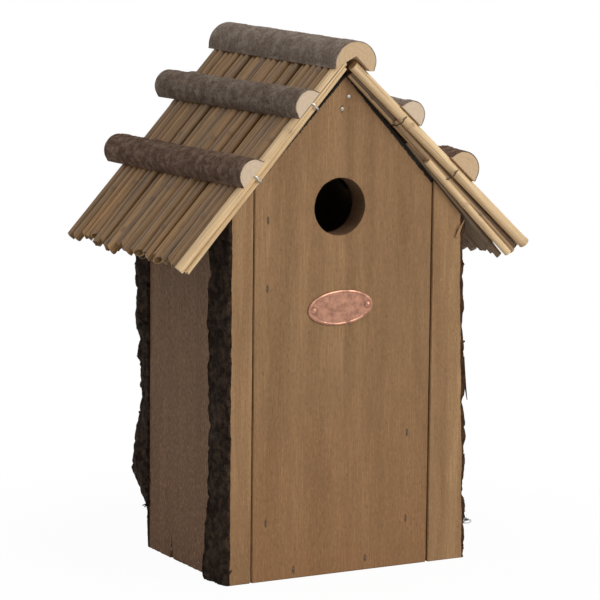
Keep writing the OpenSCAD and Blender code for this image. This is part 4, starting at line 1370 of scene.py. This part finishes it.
class NESTBOX_OT_logs(bpy.types.Operator):
    """Lay the notched log on the ridge and the four split battens on the reeds"""

    bl_idname = "nestbox.logs"
    bl_label = "Logs"

    def execute(self, context):
        look = context.scene.nest_box
        self.ridge(look)
        knots = ((30, 1.9, 6, 1.6), (78, 1.3, 5, 1.2), (120, 2.2, 7, 1.5))
        lower_knots = ((12, 2.1, 7, 1.6), (58, 1.2, 6, 1.4), (101, 2.0, 8, 1.8))
        knotty, grey, brown = "knotty_bark", "grey_bark", "brown_bark"
        pale = "pale_cut_wood"
        for name, side, lift, at, skew, front, back, width, height, spots, twist, skin_name, sawn, seed in (
                ("left_upper", -1, 0.0, 33.0, 3.5, 15, 36, 19.0, 9.3, knots, 0.0, knotty, pale, 4),
                ("left_lower", -1, 0.0, 82.5, 3.5, 14, 35, 19.0, 9.3, lower_knots, 0.5, brown, pale, 6),
                ("right_upper", 1, RIGHT_LIFT, 44.0, 0.0, 9.5, 33, 17.5, 9.5, knots, 0.0, grey, pale, 7),
                ("right_lower", 1, RIGHT_LIFT, 90.5, 0.0, 10, 34, 21.5, 11.0, lower_knots, 0.3, brown,
                 "cut_wood", 12)):
            slot, rugged = (brown, 0.9) if skin_name == brown else (grey, 0.7)
            piece = batten("batten_log_" + name, side, lift, at, skew, front, back, width, height, spots,
                           twist, look, [skin_name, sawn], seed, rugged)
            carry(piece, slot, "batten_" + name)
            if slot == brown:
                flakes_on(piece, "batten_flakes_" + name, 0.0009, 2.6, 0.22, 90 + seed, skin_name, slot)
        return {"FINISHED"}

    def ridge(self, look):
        half, notch, leg = 13.5, 9.8, 9.2
        left = (-half, (BATTEN_N - half * math.sin(PITCH)) / math.cos(PITCH))
        right = (11.6, 1.0)
        centre = 4.8 / math.cos(PITCH) + 11.4 - half
        first = math.pi + math.asin((centre - left[1]) / half)
        last = -math.atan2(centre - right[1], right[0])
        flat = half - math.hypot(right[0], centre - right[1])
        stations = spaced(-11.0, BACK_Y + 24.0, 1.7)
        steps = 40

        def outline(y):
            calm = min(1.0, 0.1 + min(y - stations[0], stations[-1] - y) / 7)
            ring = []
            for i in range(steps + 1):
                a = first + (last - first) * i / steps
                r = half - flat * max(0.0, 1 - (a - last) / 0.9) ** 2
                x, z = r * math.cos(a), r * math.sin(a)
                out = -0.35 + calm * 0.6 * bark_depth(x, y, z, 2, look) if 0 < i < steps else 0.0
                near = math.hypot(y - 66, (a - 2.0) * half) / 7
                out = min(out + 0.8 * math.exp(-near ** 2 * 2), 0.35)
                ring.append((x + out * math.cos(a), centre + z + out * math.sin(a)))
            ring += [(right[0] + (leg - right[0]) * i / 3, right[1]) for i in range(1, 4)]
            ring += [(leg * (1 - i / 6), right[1] + (notch - right[1]) * i / 6) for i in range(1, 7)]
            ring += [(left[0] * i / 7, notch + (left[1] - notch) * i / 7) for i in range(1, 7)]
            return [(x, APEX + z) for x, z in ring]

        piece = log_loft("ridge_log_bark", outline, [True] * steps + [False] * 16, stations,
                         lambda x, y, z: (x, y, z), (0.0, APEX + notch), ["grey_bark", "cut_wood"], 2)
        carry(piece, "grey_bark", "ridge_log")


class NESTBOX_OT_metal(bpy.types.Operator):
    """Make the nails, wires, ties and latch"""

    bl_idname = "nestbox.metal"
    bl_label = "Nails, wires and latch"

    def execute(self, context):
        look = context.scene.nest_box
        self.nails(look)
        self.wires()
        dress(("catch_eye", "hook_eye", "latch_hook", "pivot_pins"), "latch_steel")
        dress(("log_nails",), "nail_steel")
        return {"FINISHED"}

    def nails(self, look):
        slope_x = 70.5
        forwards, backwards = (0.0, -1.0, 0.0), (0.0, 1.0, 0.0)
        leftwards, rightwards = (-1.0, 0.0, 0.0), (1.0, 0.0, 0.0)
        back = [(x, 7.0) for x in (-35, 0, 35)] + [(LEFT_OUT + 7, APEX * s) for s in (0.14, 0.39, 0.62)]
        back += [(0.0, board_under_z(0) - 7.0)]
        back += [(side * slope_x * s, slope_z(slope_x * s) - 5 / math.cos(PITCH))
                 for side in (-1, 1) for s in (0.25, 0.7)]
        left = [(LEFT_OUT - 2.0, 7.5, z) for z in (30, 105)] + [(LEFT_OUT + 0.2, y, 5.6) for y in (38, 73)]
        right = [(RIGHT_OUT + 2.0, 7.5, z) for z in (30, 105)]
        post = [(LEFT_OUT + WALL_T + 16.3, PANEL_T + 11.2, APEX * s) for s in (0.21, 0.475)]
        rows = (("front", 0.8, [(x, 0.3, z) for x, z in FRONT_NAILS[2:]], forwards, ("front_nails",)),
                ("apex", 1.0, [(x, 0.0, z) for x, z in FRONT_NAILS[:2]], forwards, ()),
                ("back", 1.0, [(x, BACK_Y - 0.2, z) for x, z in back], backwards, ("roof_nails",)),
                ("left", 1.0, left, leftwards, ("strip_nails", "floor_nails")),
                ("right", 1.0, right, rightwards, ()),
                ("post", 1.0, post, rightwards, ("wall_nails",)))
        for seed, (place, size, spots, direction, replaced) in enumerate(rows):
            name = place + "_nail_heads"
            sprout(name, new_mesh(name, spots), "nails", "nail_steel" if place == "apex" else "dull_nail",
                   "nail_steel", *replaced, crease=35.0, head=look.nail_head * size, shank=0.0016,
                   length=0.012, tilt=0.1, seed=seed, direction=direction)

    def wires(self):
        turns = 16
        for name, side, lift, material, thickness, places, low_n, top_n in (
                ("left", -1, 0.0, "wire", 0.0011, (29.0, 81.0), 2.6, BATTEN_N - 0.5),
                ("right", 1, RIGHT_LIFT, "dark_tie", 0.0007, (41.5, 88.0), -3.0, RIGHT_BATTEN_N - 0.5)):
            lines = []
            slope = slope_matrix(side, lift, 0, 0, 0)
            middle_n, half_n = (low_n + top_n) / 2, (top_n - low_n) / 2
            for at in places:
                for y_end, way in ((FRONT_REED_Y, -1), (BACK_REED_Y, 1)):
                    line = [(at, BACK_Y / 2, low_n + 0.4), (at, y_end - way * 5, low_n + 0.2)]
                    for k in range(turns + 1):
                        a = -math.pi / 2 + math.pi * 1.05 * k / turns
                        line.append((at + 0.3 * math.sin(k * 1.3) + 0.5 * k / turns,
                                     y_end + way * 3.6 * math.cos(a), middle_n + half_n * math.sin(a)))
                    s, y, n = line[-1]
                    line.append((s + 0.8, y - way * 1.5, n - 0.2))
                    lines.append([from_slope(slope, side, *spot) for spot in line])
            piece_name = "wire_loops_" + name
            sprout(piece_name, path_mesh(piece_name, lines), "wire", material, "wire", "binding_wire_" + name,
                   thickness=thickness, step=0.0006)


class NESTBOX_OT_name_plate(bpy.types.Operator):
    """Make the bare copper plate and its two domed pins"""

    bl_idname = "nestbox.name_plate"
    bl_label = "Name plate"

    def execute(self, context):
        low, high = node_box("name_plate")
        middle = Vector((HOLE.x + 1, 0, (low.z + high.z) / 2))
        tilt = math.radians(2.2)
        half_w, half_h, sides, rings, back_y = 20.75, 9.75, 96, 26, -0.2
        points = []

        def face_y(share, a):
            dome = 0.35 * (1 - share ** 2)
            rim = 0.3 * math.exp(-((share - 0.93) / 0.035) ** 2)
            dent = 0.1 * rough(share * math.cos(a) * 20, 0, share * math.sin(a) * 10, 7, 3)
            return -(0.55 + dome + rim + dent) if share < 1 else -0.35

        def add(share, a, y):
            x, z = half_w * share * math.cos(a), half_h * share * math.sin(a)
            points.append((middle.x + x * math.cos(tilt) - z * math.sin(tilt), y,
                           middle.z + x * math.sin(tilt) + z * math.cos(tilt)))

        shares = [1 - (1 - k / rings) ** 1.6 for k in range(1, rings)] + [0.995, 1.0]
        add(0.0, 0.0, face_y(0.0, 0.0))
        for share in shares:
            for a in circle(sides):
                add(share, a, face_y(share, a))
        for a in circle(sides):
            add(1.0, a, back_y)
        add(0.0, 0.0, back_y)
        faces = fan(1, sides, 0) + fan(len(points) - 1 - sides, sides, len(points) - 1)
        for k in range(len(shares)):
            faces += ring_faces(1 + k * sides, 1 + (k + 1) * sides, sides)
        carry(new_piece("copper_plate", points, faces, ["copper"]), "copper", "name_plate")
        dress(("plate_pins",), "copper")
        return {"FINISHED"}


class NESTBOX_OT_stage(bpy.types.Operator):
    """Set up the white floor, the soft lights and the camera"""

    bl_idname = "nestbox.stage"
    bl_label = "Stage"

    def execute(self, context):
        look = context.scene.nest_box
        scene = context.scene
        scene.view_settings.view_transform = "Standard"
        self.world(scene, look)
        self.floor()
        aim = Vector((0.0, 0.0, 0.14))
        for name, spot, size, power in (("main_light", (0.75, -1.35, 1.05), 0.9, look.key_power),
                                        ("top_light", (-0.35, -0.1, 1.6), 1.2, look.key_power * 0.35)):
            lamp = bpy.data.lights.new(name, "AREA")
            lamp.energy = power
            lamp.size = size
            light = place_object(name, lamp)
            light.location = spot
            light.rotation_euler = (aim - Vector(spot)).to_track_quat("-Z", "Y").to_euler()
        self.camera(scene)
        return {"FINISHED"}

    def world(self, scene, look):
        """Even light from all around, which the camera and mirrors see as white."""
        world = bpy.data.worlds.new("studio")
        scene.world = world
        world.use_nodes = True
        net = Net(world.node_tree)
        back = world.node_tree.nodes["Background"]
        path = net.add("ShaderNodeLightPath").outputs
        seen = net.math("MAXIMUM", net.math("MAXIMUM", path["Is Camera Ray"], path["Is Glossy Ray"]),
                        path["Is Transmission Ray"])
        back.inputs["Color"].default_value = (1.0, 1.0, 1.0, 1.0)
        net.put(back.inputs["Strength"], net.between(seen, 0.0, 1.0, look.fill, 1.0))

    def floor(self):
        """A white floor that keeps the shadow near the box and looks white further away."""
        size, rings, sides = 3.0, 10, 64
        points = [(0.0, 0.0, 0.0)]
        faces = fan(1, sides, 0)
        for k in range(1, rings + 1):
            r = size * k / rings
            points += [(r * math.cos(a), r * math.sin(a), 0.0) for a in circle(sides)]
        for k in range(1, rings):
            faces += ring_faces(1 + k * sides, 1 + (k - 1) * sides, sides)
        mesh = bpy.data.meshes.new("floor")
        mesh.from_pydata(points, [], faces)
        mesh.materials.append(self.floor_white())
        place_object("floor", mesh)

    def floor_white(self):
        material = bpy.data.materials.new("floor_white")
        material.use_nodes = True
        net = Net(material.node_tree)
        shader = material.node_tree.nodes["Principled BSDF"]
        shader.inputs["Base Color"].default_value = (0.86, 0.86, 0.86, 1.0)
        shader.inputs["Roughness"].default_value = 0.9
        glow = net.get("ShaderNodeEmission", {"Color": (1.0, 1.0, 1.0, 1.0), "Strength": 1.0})
        path = net.add("ShaderNodeLightPath").outputs
        seen = net.math("MAXIMUM", path["Is Camera Ray"], path["Is Glossy Ray"])
        reach = net.vector_math("LENGTH", net.add("ShaderNodeTexCoord").outputs["Object"])
        share = net.product(seen, net.between(reach, 0.13, 0.26, 0.96, 1.0))
        mix = net.get("ShaderNodeMixShader", {0: share, 1: shader.outputs[0], 2: glow})
        net.put(material.node_tree.nodes["Material Output"].inputs["Surface"], mix)
        return material

    def camera(self, scene):
        """The photograph's view: its direction, roll, distance and long lens."""
        az, el, roll = math.radians(-28.9), math.radians(9.1), math.radians(0.6)
        back = Vector((math.sin(az) * math.cos(el), -math.cos(az) * math.cos(el), math.sin(el)))
        right = Vector((math.cos(az), math.sin(az), 0.0))
        up = back.cross(right)
        right_r = right * math.cos(roll) + up * math.sin(roll)
        up_r = up * math.cos(roll) - right * math.sin(roll)
        lens = bpy.data.cameras.new("photo_camera")
        lens.lens = 192.0
        lens.sensor_width = 36.0
        camera = place_object("photo_camera", lens)
        matrix = Matrix((right_r, up_r, back)).transposed().to_4x4()
        matrix.translation = HOME + (right_r * -22.7 + up_r * 154.5 + back * 1813.6) * MM
        camera.matrix_world = matrix
        scene.camera = camera


STEPS = (NESTBOX_OT_finishes, NESTBOX_OT_front, NESTBOX_OT_strips, NESTBOX_OT_walls, NESTBOX_OT_inner_boards,
         NESTBOX_OT_thatch, NESTBOX_OT_logs, NESTBOX_OT_metal, NESTBOX_OT_name_plate, NESTBOX_OT_stage)


class NESTBOX_PT_panel(bpy.types.Panel):
    """The nest box's sizes and colours, and the steps that make it"""

    bl_idname = "NESTBOX_PT_panel"
    bl_label = "Thatched nest box"
    bl_space_type = "VIEW_3D"
    bl_region_type = "UI"
    bl_category = "Nest box"

    def draw(self, context):
        column = self.layout.column()
        look = context.scene.nest_box
        for name in NestBoxLook.__annotations__:
            column.prop(look, name)
        for step in STEPS:
            column.operator(step.bl_idname)


CLASSES = (NestBoxLook, *STEPS, NESTBOX_PT_panel)


def register():
    for each in CLASSES:
        bpy.utils.register_class(each)
    bpy.types.Scene.nest_box = PointerProperty(type=NestBoxLook)


def unregister():
    del bpy.types.Scene.nest_box
    for each in reversed(CLASSES):
        bpy.utils.unregister_class(each)


def main():
    register()
    for step in STEPS:
        group, name = step.bl_idname.split(".")
        getattr(getattr(bpy.ops, group), name)()


if __name__ == "__main__":
    main()
